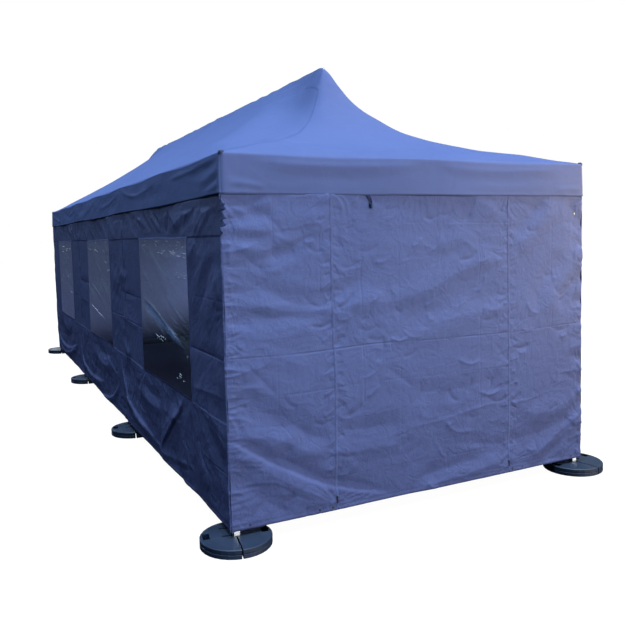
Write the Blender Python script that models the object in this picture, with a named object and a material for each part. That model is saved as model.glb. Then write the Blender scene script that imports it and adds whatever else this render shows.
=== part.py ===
"""A 3 m by 9 m pop-up marquee with side walls, clear windows and stacked base weights.

Units are metres. +Z is up, the long side runs along Y, and the end wall with the zipped door faces -Y.
The origin is on the ground under the middle of the tent.
"""

import math

import bmesh
import bpy
from mathutils import Matrix, Vector

# Driving dimensions
HALF_WIDTH = 1.5  # outer face of the long walls
HALF_LENGTH = 4.5  # outer face of the end walls
BAY = 3.0  # spacing of the legs along a long side
CLOTH = 0.004  # drawn thickness of all fabric
SEAM = 0.0003  # gap where two pieces meet
HEM_Z = 0.095  # bottom hem of the walls
EAVE_Z = 2.464  # top of the roof cloth along the eaves
RIDGE_Z = 3.43  # top of the roof cloth along the ridge
VALANCE_DROP = 0.254
WALL_TOP_GAP = 0.034  # the walls hang from inside the valance, this far under the eave

# Roof: height over the eave as a mix of a straight slope and a steep rise at the ridge
STRAIGHT_SHARE_FRONT = 0.40  # the front end hangs slackest
STRAIGHT_SHARE_MIDDLE = 0.72
STRAIGHT_SHARE_BACK = 0.62
PEAK_POWER = 4.5
ROOF_ROWS = 10
ROOF_COLUMNS = 12

# Windows: one per bay, the middle half of the wall
WINDOW_START = 0.75  # from the bay's front edge
WINDOW_WIDTH = 1.5
WINDOW_SILL_Z = 0.79
WINDOW_HEAD_Z = 1.945
PANE = 0.002
DOOR_HALF_WIDTH = 0.75

# Frame
BRACKET = 0.065  # side of the square brackets round legs
BRACKET_HEIGHT = 0.05
LEG_OUTER = 0.045
LEG_INNER = 0.038
LEG_SPLIT_Z = 1.15  # where the thin lower tube leaves the thick upper one
FOOT = 0.10
FOOT_THICK = 0.006
TRUSS_TOP_Z = 2.405
TRUSS_LOW_Z = 2.095
BAR_WIDTH = 0.025
BAR_THICK = 0.013
BAR_OFFSET = 0.006  # the two bars of a scissor pass side by side
HUB = 0.05  # pinned joint block at the middle of a truss
POLE = 0.035
POLE_BRACKET = 0.056
CAP_TIP = 0.004
CAP_RADIUS = 0.03
CAP_HEIGHT = 0.09

# Base weights: two plates stacked on each foot
PLATE_RADIUS = 0.232
PLATE_THICK = 0.030
PLATE_CHAMFER = 0.004
PLATE_SIDES = 32
PLATE_TURN = math.radians(10)  # the plates lie a little askew, turned outwards at the front
GRIP_OFFSET = 0.188
GRIP_BACK = 0.03  # the grips lie a little behind the middle
GRIP_WIDTH = 0.045
GRIP_LENGTH = 0.09
SLOT_ROWS = (0.0, 0.125)
SLOT_WIDTH = 0.018
SLOT_LENGTH = 0.18
SLOT_DEPTH = 0.012
SLIT_WIDTH = 0.010

# Places worked out from the above
OUTER_X = HALF_WIDTH + SEAM + CLOTH  # outer face of the valance and edge of the roof
OUTER_Y = HALF_LENGTH + SEAM + CLOTH
LEG_X = HALF_WIDTH - CLOTH - SEAM - BRACKET / 2
LEG_Y = HALF_LENGTH - CLOTH - SEAM - BRACKET / 2
PEAK_Y = OUTER_Y - OUTER_X  # the hips run at 45 degrees in plan
RISE = RIDGE_Z - EAVE_Z
WALL_TOP_Z = EAVE_Z - WALL_TOP_GAP
LEG_ROWS = (-LEG_Y, -BAY / 2, BAY / 2, LEG_Y)
POLE_ROWS = (-PEAK_Y, 0.0, PEAK_Y)
SIDES = {"left": -1, "right": 1}


def clear_scene():
    for obj in list(bpy.data.objects):
        bpy.data.objects.remove(obj)


def material(name, colour, roughness, metallic=0.0, alpha=1.0):
    made = bpy.data.materials.new(name)
    made.use_nodes = True
    shader = made.node_tree.nodes["Principled BSDF"]
    shader.inputs["Base Color"].default_value = (*colour, 1.0)
    shader.inputs["Roughness"].default_value = roughness
    shader.inputs["Metallic"].default_value = metallic
    shader.inputs["Alpha"].default_value = alpha
    return made


def add_object(name, mesh, finish):
    obj = bpy.data.objects.new(name, mesh)
    bpy.context.scene.collection.objects.link(obj)
    mesh.materials.append(finish)
    return obj


def mesh_of(bm, name):
    """Turns a bmesh into a mesh with its faces pointing out."""
    bmesh.ops.recalc_face_normals(bm, faces=bm.faces)
    mesh = bpy.data.meshes.new(name)
    bm.to_mesh(mesh)
    bm.free()
    return mesh


def box_mesh(name, low, high):
    bm = bmesh.new()
    bmesh.ops.create_cube(bm, size=1.0)
    size = Vector(high) - Vector(low)
    middle = (Vector(high) + Vector(low)) / 2
    bm.transform(Matrix.Translation(middle) @ Matrix.Diagonal((*size, 1.0)))
    return mesh_of(bm, name)


def bar_mesh(name, start, end, side):
    """A flat bar from start to end. side is the direction its thin dimension faces."""
    start, end, side = Vector(start), Vector(end), Vector(side).normalized()
    along = (end - start).normalized()
    across = side.cross(along)
    turn = Matrix((along, across, side)).transposed().to_4x4()
    size = Matrix.Diagonal(((end - start).length, BAR_WIDTH, BAR_THICK, 1.0))
    bm = bmesh.new()
    bmesh.ops.create_cube(bm, size=1.0)
    bm.transform(Matrix.Translation((start + end) / 2) @ turn @ size)
    return mesh_of(bm, name)


def combine(name, base, others, operation, finish):
    """Joins or cuts base with the other meshes and leaves one object with the result."""
    obj = add_object(name, base, finish)
    helpers = bpy.data.collections.new(name + "_helpers")
    bpy.context.scene.collection.children.link(helpers)
    for mesh in others:
        helper = bpy.data.objects.new(mesh.name, mesh)
        helper.hide_render = True
        helper.display_type = "WIRE"
        helpers.objects.link(helper)
    boolean = obj.modifiers.new("combine", "BOOLEAN")
    boolean.operation = operation
    boolean.solver = "EXACT"
    boolean.operand_type = "COLLECTION"
    boolean.collection = helpers
    graph = bpy.context.evaluated_depsgraph_get()
    result = bpy.data.meshes.new_from_object(obj.evaluated_get(graph))
    obj.modifiers.clear()
    obj.data = result
    result.materials.clear()
    result.materials.append(finish)
    for helper in list(helpers.objects):
        bpy.data.objects.remove(helper)
    bpy.data.collections.remove(helpers)
    return obj


def blend(low, high, t):
    """Goes smoothly from low to high as t goes from 0 to 1."""
    t = min(max(t, 0.0), 1.0)
    return low + (high - low) * t * t * (3 - 2 * t)


def straight_share(y):
    """How much of the roof's rise at this y is a straight slope."""
    if y < 0:
        return blend(STRAIGHT_SHARE_FRONT, STRAIGHT_SHARE_MIDDLE, (y + PEAK_Y) / PEAK_Y)
    return blend(STRAIGHT_SHARE_MIDDLE, STRAIGHT_SHARE_BACK, y / PEAK_Y)


def roof_z(inset, y):
    """Top of the roof cloth, inset metres in from the nearest eave."""
    share = inset / OUTER_X
    straight = straight_share(y)
    return EAVE_Z + RISE * (straight * share + (1 - straight) * share**PEAK_POWER)


def under_roof(x, y):
    """Underside of the roof cloth over a point."""
    inset = min(OUTER_X - abs(x), OUTER_Y - abs(y))
    return roof_z(inset, y) - CLOTH


def sheet_mesh(name, rows):
    """A cloth of even drop thickness from rows of points on its upper face."""
    bm = bmesh.new()
    down = Vector((0, 0, CLOTH))
    upper = [[bm.verts.new(p) for p in row] for row in rows]
    lower = [[bm.verts.new(Vector(p) - down) for p in row] for row in rows]
    for r in range(len(rows) - 1):
        for c in range(len(rows[0]) - 1):
            for grid in (upper, lower):
                bm.faces.new((grid[r][c], grid[r][c + 1], grid[r + 1][c + 1], grid[r + 1][c]))
    rim = [(0, c) for c in range(len(rows[0]))]
    rim += [(r, len(rows[0]) - 1) for r in range(1, len(rows))]
    rim += [(len(rows) - 1, c) for c in range(len(rows[0]) - 2, -1, -1)]
    rim += [(r, 0) for r in range(len(rows) - 2, 0, -1)]
    for (r1, c1), (r2, c2) in zip(rim, rim[1:] + rim[:1]):
        bm.faces.new((upper[r1][c1], upper[r2][c2], lower[r2][c2], lower[r1][c1]))
    bmesh.ops.remove_doubles(bm, verts=bm.verts, dist=SEAM / 10)
    return mesh_of(bm, name)


def roof_insets():
    """Row positions from the eave to the ridge, closer together where the cloth turns up."""
    return [OUTER_X * (1 - (1 - r / ROOF_ROWS) ** 1.5) for r in range(ROOF_ROWS + 1)]


def build_roof(cloth):
    hip_gap = SEAM * 0.75
    for side, sign in SIDES.items():
        rows = []
        for inset in roof_insets():
            reach = OUTER_Y - inset - hip_gap
            x = sign * max(OUTER_X - inset, SEAM / 2)
            ys = [reach * (2 * c / ROOF_COLUMNS - 1) for c in range(ROOF_COLUMNS + 1)]
            rows.append([(x, y, roof_z(inset, y)) for y in ys])
        add_object("roof_" + side, sheet_mesh("roof_" + side, rows), cloth)
    for end, sign in (("front", -1), ("back", 1)):
        rows = []
        for inset in roof_insets():
            reach = OUTER_X - inset - hip_gap
            y = sign * (OUTER_Y - inset)
            if reach < hip_gap:
                reach, y = hip_gap, sign * (PEAK_Y + 2 * hip_gap)
            rows.append([(reach * t, y, roof_z(inset, y)) for t in (-1, 0, 1)])
        add_object("roof_" + end, sheet_mesh("roof_" + end, rows), cloth)


def build_valance(cloth):
    top = EAVE_Z - CLOTH - SEAM
    low = EAVE_Z - VALANCE_DROP
    for side, sign in SIDES.items():
        near, far = sorted((sign * (OUTER_X - CLOTH), sign * OUTER_X))
        mesh = box_mesh("valance", (near, -OUTER_Y, low), (far, OUTER_Y, top))
        add_object("valance_" + side, mesh, cloth)
    for end, sign in (("front", -1), ("back", 1)):
        near, far = sorted((sign * (OUTER_Y - CLOTH), sign * OUTER_Y))
        mesh = box_mesh("valance", (-HALF_WIDTH, near, low), (HALF_WIDTH, far, top))
        add_object("valance_" + end, mesh, cloth)


def build_long_walls(cloth, clear):
    for side, sign in SIDES.items():
        inner, outer = sorted((sign * (HALF_WIDTH - CLOTH), sign * HALF_WIDTH))
        middle = sign * (HALF_WIDTH - CLOTH / 2)
        for number in (1, 2, 3):
            start = -HALF_LENGTH + (number - 1) * BAY
            front = start + SEAM / 2
            back = start + BAY - SEAM / 2
            if number == 1:
                front = -HALF_LENGTH + CLOTH + SEAM
            if number == 3:
                back = HALF_LENGTH - CLOTH - SEAM
            sheet = box_mesh("sheet", (inner, front, HEM_Z), (outer, back, WALL_TOP_Z))
            left = start + WINDOW_START
            right = left + WINDOW_WIDTH
            hole = box_mesh(
                "hole",
                (inner - CLOTH, left, WINDOW_SILL_Z),
                (outer + CLOTH, right, WINDOW_HEAD_Z),
            )
            combine(f"wall_{side}_{number}", sheet, [hole], "DIFFERENCE", cloth)
            pane = box_mesh(
                "pane",
                (middle - PANE / 2, left + SEAM, WINDOW_SILL_Z + SEAM),
                (middle + PANE / 2, right - SEAM, WINDOW_HEAD_Z - SEAM),
            )
            add_object(f"window_{side}_{number}", pane, clear)


def build_end_walls(cloth):
    edges = (
        ("wall_front_left", -HALF_WIDTH, -DOOR_HALF_WIDTH - SEAM / 2, -1),
        ("door_front", -DOOR_HALF_WIDTH + SEAM / 2, DOOR_HALF_WIDTH - SEAM / 2, -1),
        ("wall_front_right", DOOR_HALF_WIDTH + SEAM / 2, HALF_WIDTH, -1),
        ("wall_back", -HALF_WIDTH, HALF_WIDTH, 1),
    )
    for name, left, right, sign in edges:
        near, far = sorted((sign * (HALF_LENGTH - CLOTH), sign * HALF_LENGTH))
        mesh = box_mesh(name, (left, near, HEM_Z), (right, far, WALL_TOP_Z))
        add_object(name, mesh, cloth)


def square_tube(name, x, y, low, high, size):
    half = size / 2
    return box_mesh(name, (x - half, y - half, low), (x + half, y + half, high))


def build_legs(metal):
    for side, sign in SIDES.items():
        for number, y in enumerate(LEG_ROWS, start=1):
            x = sign * LEG_X
            half = LEG_OUTER / 2
            top = min(under_roof(x + sign * half, y + dy) for dy in (-half, half)) - SEAM
            upper = square_tube("upper", x, y, LEG_SPLIT_Z, top, LEG_OUTER)
            lower = square_tube("lower", x, y, FOOT_THICK / 2, LEG_SPLIT_Z + half, LEG_INNER)
            foot = square_tube("foot", x, y, 0.0, FOOT_THICK, FOOT)
            combine(f"leg_{side}_{number}", upper, [lower, foot], "UNION", metal)


def plate_stack_mesh():
    """Two round plates, one on the other, turned from a profile that runs up the rim."""
    rim = [(0.0, 0.0)]
    for level in (0, 1):
        low = level * PLATE_THICK
        high = low + PLATE_THICK
        if level == 0:
            rim.append((PLATE_RADIUS - PLATE_CHAMFER, low))
        rim.append((PLATE_RADIUS, low + PLATE_CHAMFER))
        rim.append((PLATE_RADIUS, high - PLATE_CHAMFER))
        rim.append((PLATE_RADIUS - PLATE_CHAMFER, high))
    rim.append((0.0, 2 * PLATE_THICK))
    bm = bmesh.new()
    verts = [bm.verts.new((r, 0.0, z)) for r, z in rim]
    edges = [bm.edges.new(pair) for pair in zip(verts, verts[1:])]
    bmesh.ops.spin(
        bm,
        geom=verts + edges,
        cent=(0, 0, 0),
        axis=(0, 0, 1),
        angle=2 * math.pi,
        steps=PLATE_SIDES,
        use_merge=True,
    )
    bmesh.ops.remove_doubles(bm, verts=bm.verts, dist=SEAM / 3)
    return mesh_of(bm, "plates")


def plate_cutters():
    """The leg hole, foot recess, hand grips, slots and slit of a stack of plates."""
    high = 2 * PLATE_THICK
    over = PLATE_THICK / 2
    askew = math.cos(PLATE_TURN) + math.sin(PLATE_TURN)
    hole = LEG_INNER / 2 * askew + SEAM
    recess = FOOT / 2 * askew + SEAM
    cutters = [
        box_mesh("leg_hole", (-hole, -hole, -over), (hole, hole, high + over)),
        box_mesh("recess", (-recess, -recess, -over), (recess, recess, FOOT_THICK + SEAM)),
        box_mesh(
            "slit",
            (-SLIT_WIDTH / 2, -PLATE_RADIUS - over, -over),
            (SLIT_WIDTH / 2, 0.0, high + over),
        ),
    ]
    for x in (-GRIP_OFFSET, GRIP_OFFSET):
        cutters.append(
            box_mesh(
                "grip",
                (x - GRIP_WIDTH / 2, GRIP_BACK - GRIP_LENGTH / 2, -over),
                (x + GRIP_WIDTH / 2, GRIP_BACK + GRIP_LENGTH / 2, high + over),
            )
        )
    for y in SLOT_ROWS:
        cutters.append(
            box_mesh(
                "slot",
                (-SLOT_LENGTH / 2, y - SLOT_WIDTH / 2, high - SLOT_DEPTH),
                (SLOT_LENGTH / 2, y + SLOT_WIDTH / 2, high + over),
            )
        )
    return cutters


def build_weights(rubber):
    pattern = combine("plates", plate_stack_mesh(), plate_cutters(), "DIFFERENCE", rubber)
    stack = pattern.data
    bpy.data.objects.remove(pattern)
    stack.shade_smooth()
    stack.set_sharp_from_angle(angle=math.radians(35))
    for side, sign in SIDES.items():
        for number, y in enumerate(LEG_ROWS, start=1):
            obj = bpy.data.objects.new(f"weight_{side}_{number}", stack)
            obj.location = (sign * LEG_X, y, 0.0)
            obj.rotation_euler.z = sign * PLATE_TURN
            bpy.context.scene.collection.objects.link(obj)


def scissor(start, end, side):
    """Two crossing bars between two upright joint lines. start and end are points in plan."""
    offset = Vector(side).normalized() * BAR_OFFSET
    a, b = Vector(start), Vector(end)
    low, high = Vector((0, 0, TRUSS_LOW_Z)), Vector((0, 0, TRUSS_TOP_Z))
    return [
        bar_mesh("bar", a + high + offset, b + low + offset, side),
        bar_mesh("bar", a + low - offset, b + high - offset, side),
    ]


def joint_blocks(x, y, size):
    """Upper and lower joint block of a truss, centred over a point in plan."""
    blocks = []
    for z in (TRUSS_LOW_Z, TRUSS_TOP_Z):
        low, high = z - BRACKET_HEIGHT / 2, z + BRACKET_HEIGHT / 2
        blocks.append(square_tube("block", x, y, low, high, size))
    return blocks


def truss(name, solids, holes, finish):
    """Fuses the bars and blocks of a truss, then opens the holes that tubes pass through."""
    fused = combine(name, solids[0], solids[1:], "UNION", finish)
    if holes:
        mesh = fused.data
        bpy.data.objects.remove(fused)
        combine(name, mesh, holes, "DIFFERENCE", finish)


def tube_hole(x, y, size):
    return square_tube("hole", x, y, TRUSS_LOW_Z - BAR_WIDTH * 2, RIDGE_Z, size + 2 * SEAM)


def build_side_trusses(metal):
    joints = (-LEG_Y, -PEAK_Y, -BAY / 2, 0.0, BAY / 2, PEAK_Y, LEG_Y)
    for side, sign in SIDES.items():
        x = sign * LEG_X
        solids, holes = [], []
        for y in joints:
            solids += joint_blocks(x, y, BRACKET if y in LEG_ROWS else HUB)
        for y1, y2 in zip(joints, joints[1:]):
            solids += scissor((x, y1, 0), (x, y2, 0), (1, 0, 0))
        for y in LEG_ROWS:
            holes.append(tube_hole(x, y, LEG_OUTER))
        truss("truss_" + side, solids, holes, metal)


def build_end_trusses(metal):
    reach = LEG_X - BRACKET / 2 - SEAM - HUB / 2
    for end, sign in (("front", -1), ("back", 1)):
        y = sign * LEG_Y
        solids = []
        for x in (-reach, 0.0, reach):
            solids += joint_blocks(x, y, HUB)
        for x1, x2 in ((-reach, 0.0), (0.0, reach)):
            solids += scissor((x1, y, 0), (x2, y, 0), (0, 1, 0))
        truss("truss_" + end, solids, [], metal)


def build_ridge_truss(metal):
    reach = LEG_Y - HUB - SEAM
    joints = (-reach, -PEAK_Y, -BAY / 2, 0.0, BAY / 2, PEAK_Y, reach)
    solids, holes = [], []
    for y in joints:
        solids += joint_blocks(0.0, y, POLE_BRACKET if y in POLE_ROWS else HUB)
    for y1, y2 in zip(joints, joints[1:]):
        solids += scissor((0, y1, 0), (0, y2, 0), (1, 0, 0))
    for y in POLE_ROWS:
        holes.append(tube_hole(0.0, y, POLE))
    truss("truss_ridge", solids, holes, metal)


def build_cross_trusses(metal):
    inner = POLE_BRACKET / 2 + SEAM + HUB / 2
    outer = LEG_X - HUB / 2 - SEAM - HUB / 2
    for side, sign in SIDES.items():
        for number, y in enumerate(POLE_ROWS, start=1):
            near, far = sign * inner, sign * outer
            solids = joint_blocks(near, y, HUB) + joint_blocks(far, y, HUB)
            solids += scissor((near, y, 0), (far, y, 0), (0, 1, 0))
            truss(f"truss_cross_{side}_{number}", solids, [], metal)


def build_poles(metal):
    """Upright poles under the ridge, each with a tapered cap that the cloth rests on."""
    low = TRUSS_LOW_Z - BRACKET_HEIGHT
    for number, y in enumerate(POLE_ROWS, start=1):
        tip = under_roof(CAP_TIP, y) - SEAM
        if number != 2:
            tip = min(tip, under_roof(0.0, math.copysign(PEAK_Y + CAP_TIP, y)) - SEAM)
        base = tip - CAP_HEIGHT
        bm = bmesh.new()
        bmesh.ops.create_cone(
            bm,
            cap_ends=True,
            segments=16,
            radius1=CAP_RADIUS,
            radius2=CAP_TIP,
            depth=CAP_HEIGHT,
            matrix=Matrix.Translation((0, y, (tip + base) / 2)),
        )
        cap = mesh_of(bm, "cap")
        pole = square_tube("pole", 0.0, y, low, base + CAP_HEIGHT / 4, POLE)
        combine(f"peak_pole_{number}", pole, [cap], "UNION", metal)


def build_tent():
    clear_scene()
    roof_cloth = material("roof_cloth", (0.09, 0.13, 0.40), 0.62)
    wall_cloth = material("wall_cloth", (0.075, 0.095, 0.28), 0.60)
    clear_sheet = material("clear_sheet", (0.20, 0.24, 0.32), 0.18, alpha=0.45)
    bare_metal = material("bare_metal", (0.72, 0.73, 0.74), 0.38, metallic=1.0)
    black_rubber = material("black_rubber", (0.020, 0.024, 0.032), 0.70)
    build_roof(roof_cloth)
    build_valance(roof_cloth)
    build_long_walls(wall_cloth, clear_sheet)
    build_end_walls(wall_cloth)
    build_legs(bare_metal)
    build_weights(black_rubber)
    build_side_trusses(bare_metal)
    build_end_trusses(bare_metal)
    build_ridge_truss(bare_metal)
    build_cross_trusses(bare_metal)
    build_poles(bare_metal)


build_tent()
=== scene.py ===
import math

import bpy
import numpy as np
from mathutils import Matrix, Vector


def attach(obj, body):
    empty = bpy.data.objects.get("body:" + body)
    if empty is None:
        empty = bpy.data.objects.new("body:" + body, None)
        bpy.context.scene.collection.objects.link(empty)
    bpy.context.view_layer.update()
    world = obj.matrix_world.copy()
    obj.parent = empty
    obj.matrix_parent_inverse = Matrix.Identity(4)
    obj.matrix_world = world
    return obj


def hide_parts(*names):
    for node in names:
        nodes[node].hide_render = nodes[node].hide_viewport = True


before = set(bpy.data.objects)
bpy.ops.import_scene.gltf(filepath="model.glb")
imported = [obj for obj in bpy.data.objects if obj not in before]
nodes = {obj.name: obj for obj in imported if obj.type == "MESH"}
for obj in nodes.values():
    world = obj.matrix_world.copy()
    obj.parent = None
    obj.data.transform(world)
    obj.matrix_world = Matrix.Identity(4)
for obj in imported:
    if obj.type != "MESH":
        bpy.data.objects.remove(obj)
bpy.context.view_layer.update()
print("frame loaded:", len(nodes), "nodes")

tent = {
    "halfWidth": 1.5,
    "halfLength": 4.5,
    "outerX": 1.5043,  # outside of the roof cloth
    "outerY": 4.5043,
    "peakY": 3.0,
    "eaveZ": 2.464,
    "ridgeZ": 3.43,
    "hemZ": 0.095,
    "wallTop": 2.385,
    "valanceZ": 2.21,
    "windowStart": 0.75,  # from a bay's front edge
    "windowWidth": 1.5,
    "sillZ": 0.79,
    "headZ": 1.945,
    "doorHalf": 0.75,
    "bay": 3.0,
    "legX": 1.4632,  # middle of a corner leg
    "legY": 4.4632,
    "seam": 0.0003,  # what two wall cloths leave between them
}


# numbers that change smoothly, and lines

def easeStep(low, high, value):
    # from 0 at low to 1 at high
    share = np.clip((value - low) / (high - low), 0.0, 1.0)
    return share * share * (3.0 - 2.0 * share)


def softNoise(across, up, size, seed, stretch=1.0):
    # random values on a lattice, smoothly joined, from -1 to 1
    dice = np.random.default_rng(seed)
    lattice = dice.uniform(-1.0, 1.0, (97, 97))
    a = across / (size * stretch) + 31.7
    b = up / size + 17.3
    ai = np.floor(a).astype(int)
    bi = np.floor(b).astype(int)
    af = a - ai
    bf = b - bi
    af = af * af * (3.0 - 2.0 * af)
    bf = bf * bf * (3.0 - 2.0 * bf)
    low = lattice[ai % 97, bi % 97] * (1 - af) + lattice[(ai + 1) % 97, bi % 97] * af
    high = lattice[ai % 97, (bi + 1) % 97] * (1 - af) + lattice[(ai + 1) % 97, (bi + 1) % 97] * af
    return low * (1 - bf) + high * bf


def gridLines(low, high, step, extra=()):
    # even lines, with the extra ones in place of any that stand close to them
    count = max(2, int(round((high - low) / step)) + 1)
    lines = list(np.linspace(low, high, count))
    fixed = [e for e in extra if low - 1e-9 <= e <= high + 1e-9]
    kept = [v for v in lines if all(abs(v - e) > step * 0.42 for e in fixed)]
    for end in (low, high):
        if all(abs(v - end) > 1e-6 for v in kept + fixed):
            kept.append(end)
    return np.array(sorted(set(kept + fixed)))


def smoothLine(points, steps=5):
    # a rounded line through the points
    p = np.array(points, float)
    if len(p) < 3:
        return np.linspace(p[0], p[-1], steps + 1)
    ends = np.vstack([2 * p[0] - p[1], p, 2 * p[-1] - p[-2]])
    out = []
    for i in range(1, len(ends) - 2):
        a, b, c, d = ends[i - 1], ends[i], ends[i + 1], ends[i + 2]
        for t in np.linspace(0, 1, steps, endpoint=False):
            out.append(0.5 * (2 * b + (c - a) * t + (2 * a - 5 * b + 4 * c - d) * t * t
                              + (3 * b - a - 3 * c + d) * t ** 3))
    out.append(p[-1])
    return np.array(out)


def addFold(total, across, up, kind, height, width, points, fade=0.22):
    # one fold: soft is two flat facets that meet, crease a sharp crest, lap is steep on one side
    line = smoothLine(points)
    reach = width * (5.0 if kind == "crease" else 3.2)
    low = line.min(0) - reach
    high = line.max(0) + reach
    near = np.nonzero((across > low[0]) & (across < high[0]) & (up > low[1]) & (up < high[1]))[0]
    if len(near) == 0:
        return
    pa = across[near]
    pb = up[near]
    best = np.full(len(near), 1e9)
    along = np.zeros(len(near))
    side = np.ones(len(near))
    lengths = np.hypot(*(line[1:] - line[:-1]).T)
    whole = lengths.sum()
    gone = 0.0
    for i, length in enumerate(lengths):
        d = (line[i + 1] - line[i]) / max(length, 1e-9)
        ra = pa - line[i][0]
        rb = pb - line[i][1]
        t = np.clip(ra * d[0] + rb * d[1], 0.0, length)
        gap = np.hypot(ra - t * d[0], rb - t * d[1])
        closer = gap < best
        best = np.where(closer, gap, best)
        along = np.where(closer, (gone + t) / whole, along)
        side = np.where(closer, np.sign(d[0] * rb - d[1] * ra), side)
        gone += length
    weighting = easeStep(0.0, fade, along) * easeStep(0.0, fade, 1.0 - along)
    # a fold grows narrower where it runs out
    spread = width * (0.55 + 0.45 * weighting)
    if kind == "crease":
        shape = np.exp(-best / spread)
    elif kind == "lap":
        shape = np.exp(-(best / np.where(side > 0, spread, spread * 0.3)) ** 2)
    else:
        shape = np.clip(1.0 - (np.sqrt(best ** 2 + 0.004 ** 2) - 0.004) / (2.2 * spread), 0.0, 1.0) ** 1.15
    total[near] += height * weighting * shape


def foldHeights(across, up, folds, scale=1.0):
    total = np.zeros(across.size)
    a = across.ravel()
    b = up.ravel()
    left, right = a.min(), a.max()
    for kind, height, width, points in folds:
        spots = [q[0] for q in points]
        if max(spots) + 6 * width > left and min(spots) - 6 * width < right:
            addFold(total, a, b, kind, height * scale, width, points)
    return total.reshape(across.shape)


def fanFolds(across, up, centre, reach, height, count, seed):
    # folds that spread from a place where the cloth is tied
    a = across - centre[0]
    b = up - centre[1]
    far = np.hypot(a, b)
    angle = np.arctan2(b, a) + 0.30 * softNoise(across, up, reach * 0.6, seed + 1)
    ridge = 1.0 - 2.2 * np.abs(softNoise(angle * count, far / reach, 1.0, seed))
    return height * ridge * (far / (far + 0.035)) * np.exp(-far / reach)


def crumple(across, up, size, height, seed, stretch=1.0):
    # thin cloth that was packed: flat facets with creases between them
    bendA = softNoise(across, up, size * 1.7, seed + 1) * size * 0.6
    bendB = softNoise(across, up, size * 1.7, seed + 2) * size * 0.6
    coarse = np.abs(softNoise(across + bendA, up + bendB, size, seed, stretch))
    fine = np.abs(softNoise(across - bendB, up + bendA, size * 0.47, seed + 5, stretch))
    return height * (coarse + 0.45 * fine - 0.55)


# meshes

def newObject(name, points, faces, smooth=True, flat=None, marks=None):
    mesh = bpy.data.meshes.new(name)
    mesh.from_pydata([tuple(p) for p in points], [], [tuple(f) for f in faces])
    if flat is not None:  # where each point lies on the flat cloth, in metres
        layer = mesh.uv_layers.new(name="metres")
        corner = np.zeros(len(mesh.loops), np.int32)
        mesh.loops.foreach_get("vertex_index", corner)
        layer.data.foreach_set("uv", np.asarray(flat, np.float32)[corner].ravel())
    for mark, values in (marks or {}).items():  # what a material reads at each point
        values = np.asarray(values, np.float32)
        if values.ndim > 1:
            mesh.attributes.new(mark, "FLOAT_VECTOR", "POINT").data.foreach_set("vector", values.ravel())
        else:
            mesh.attributes.new(mark, "FLOAT", "POINT").data.foreach_set("value", values)
    mesh.polygons.foreach_set("use_smooth", [smooth] * len(mesh.polygons))
    mesh.update()
    made = bpy.data.objects.new(name, mesh)
    bpy.context.scene.collection.objects.link(made)
    return made


def gridFaces(rows, columns, flip=False, skip=None):
    r, c = np.meshgrid(np.arange(rows - 1), np.arange(columns - 1), indexing="ij")
    a = (r * columns + c).ravel()
    quads = np.stack([a, a + 1, a + columns + 1, a + columns], 1)
    if skip is not None:
        quads = quads[~skip.ravel()]
    return quads[:, ::-1] if flip else quads


def listed(*parts):
    # one row for each point, from coordinates that share a grid
    return np.stack(np.broadcast_arrays(*parts), -1).reshape(-1, len(parts))


def finishPiece(piece, material, replaced=()):
    piece.data.materials.clear()
    piece.data.materials.append(material)
    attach(piece, "root")
    if replaced:
        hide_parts(*replaced)
    return piece


def joinParts(parts):
    # points and faces of several small parts in one list
    points = []
    faces = []
    count = 0
    for partPoints, partFaces in parts:
        points.append(np.asarray(partPoints, float))
        faces += [tuple(i + count for i in face) for face in partFaces]
        count += len(partPoints)
    return np.vstack(points), faces


def turned(profile, count, centre=(0, 0, 0), axis=2):
    # a profile of (radius, height) turned round an axis; a radius of 0 closes it
    points = []
    faces = []
    for k in range(count):
        angle = 2 * math.pi * k / count
        for radius, height in profile:
            a, b = radius * math.cos(angle), radius * math.sin(angle)
            spot = ((height, a, b), (b, height, a), (a, b, height))[axis]
            points.append([c + v for c, v in zip(centre, spot)])
    rows = len(profile)
    for k in range(count):
        after = (k + 1) % count
        for j in range(rows - 1):
            faces.append((k * rows + j, after * rows + j, after * rows + j + 1, k * rows + j + 1))
    return points, faces


def plate(outline, low, high, slope, spot):
    # a chamfered plate: outline of (a, b), from low to high; spot turns (a, b, c) into a place
    middle = np.mean(outline, axis=0)
    small = [tuple(middle + (np.array(o) - middle) * slope) for o in outline]
    rings = [(outline, low), (outline, low + (high - low) * 0.6), (small, high)]
    points = [spot(a, b, level) for ring, level in rings for a, b in ring]
    n = len(outline)
    faces = [tuple(range(n))[::-1], tuple(range(2 * n, 3 * n))]
    for r in range(2):
        for k in range(n):
            after = (k + 1) % n
            faces.append((r * n + k, r * n + after, (r + 1) * n + after, (r + 1) * n + k))
    return points, faces


# node helpers: each one that makes a node gives back its outputs

def addNode(tree, kind, place=(0, 0), **settings):
    node = tree.nodes.new(kind)
    node.location = place
    for key, value in settings.items():
        setattr(node, key, value)
    return node


def wire(tree, value, socket):
    # another node's output is linked; a number, a vector or a colour is set
    if isinstance(value, (int, float)):
        socket.default_value = value
    elif isinstance(value, tuple):
        socket.default_value = value if socket.type == "VECTOR" else (*value, 1.0)
    else:
        tree.links.new(value, socket)


def newMaterial(name):
    material = bpy.data.materials.new(name)
    material.use_nodes = True
    tree = material.node_tree
    tree.nodes.clear()
    out = addNode(tree, "ShaderNodeOutputMaterial", (900, 0))
    shader = addNode(tree, "ShaderNodeBsdfPrincipled", (600, 0))
    wire(tree, shader.outputs["BSDF"], out.inputs["Surface"])
    return material, tree, shader.inputs


def mathNode(tree, operation, *values, clamp=False):
    node = addNode(tree, "ShaderNodeMath", operation=operation, use_clamp=clamp)
    for socket, value in zip(node.inputs, values):
        wire(tree, value, socket)
    return node.outputs[0]


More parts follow.
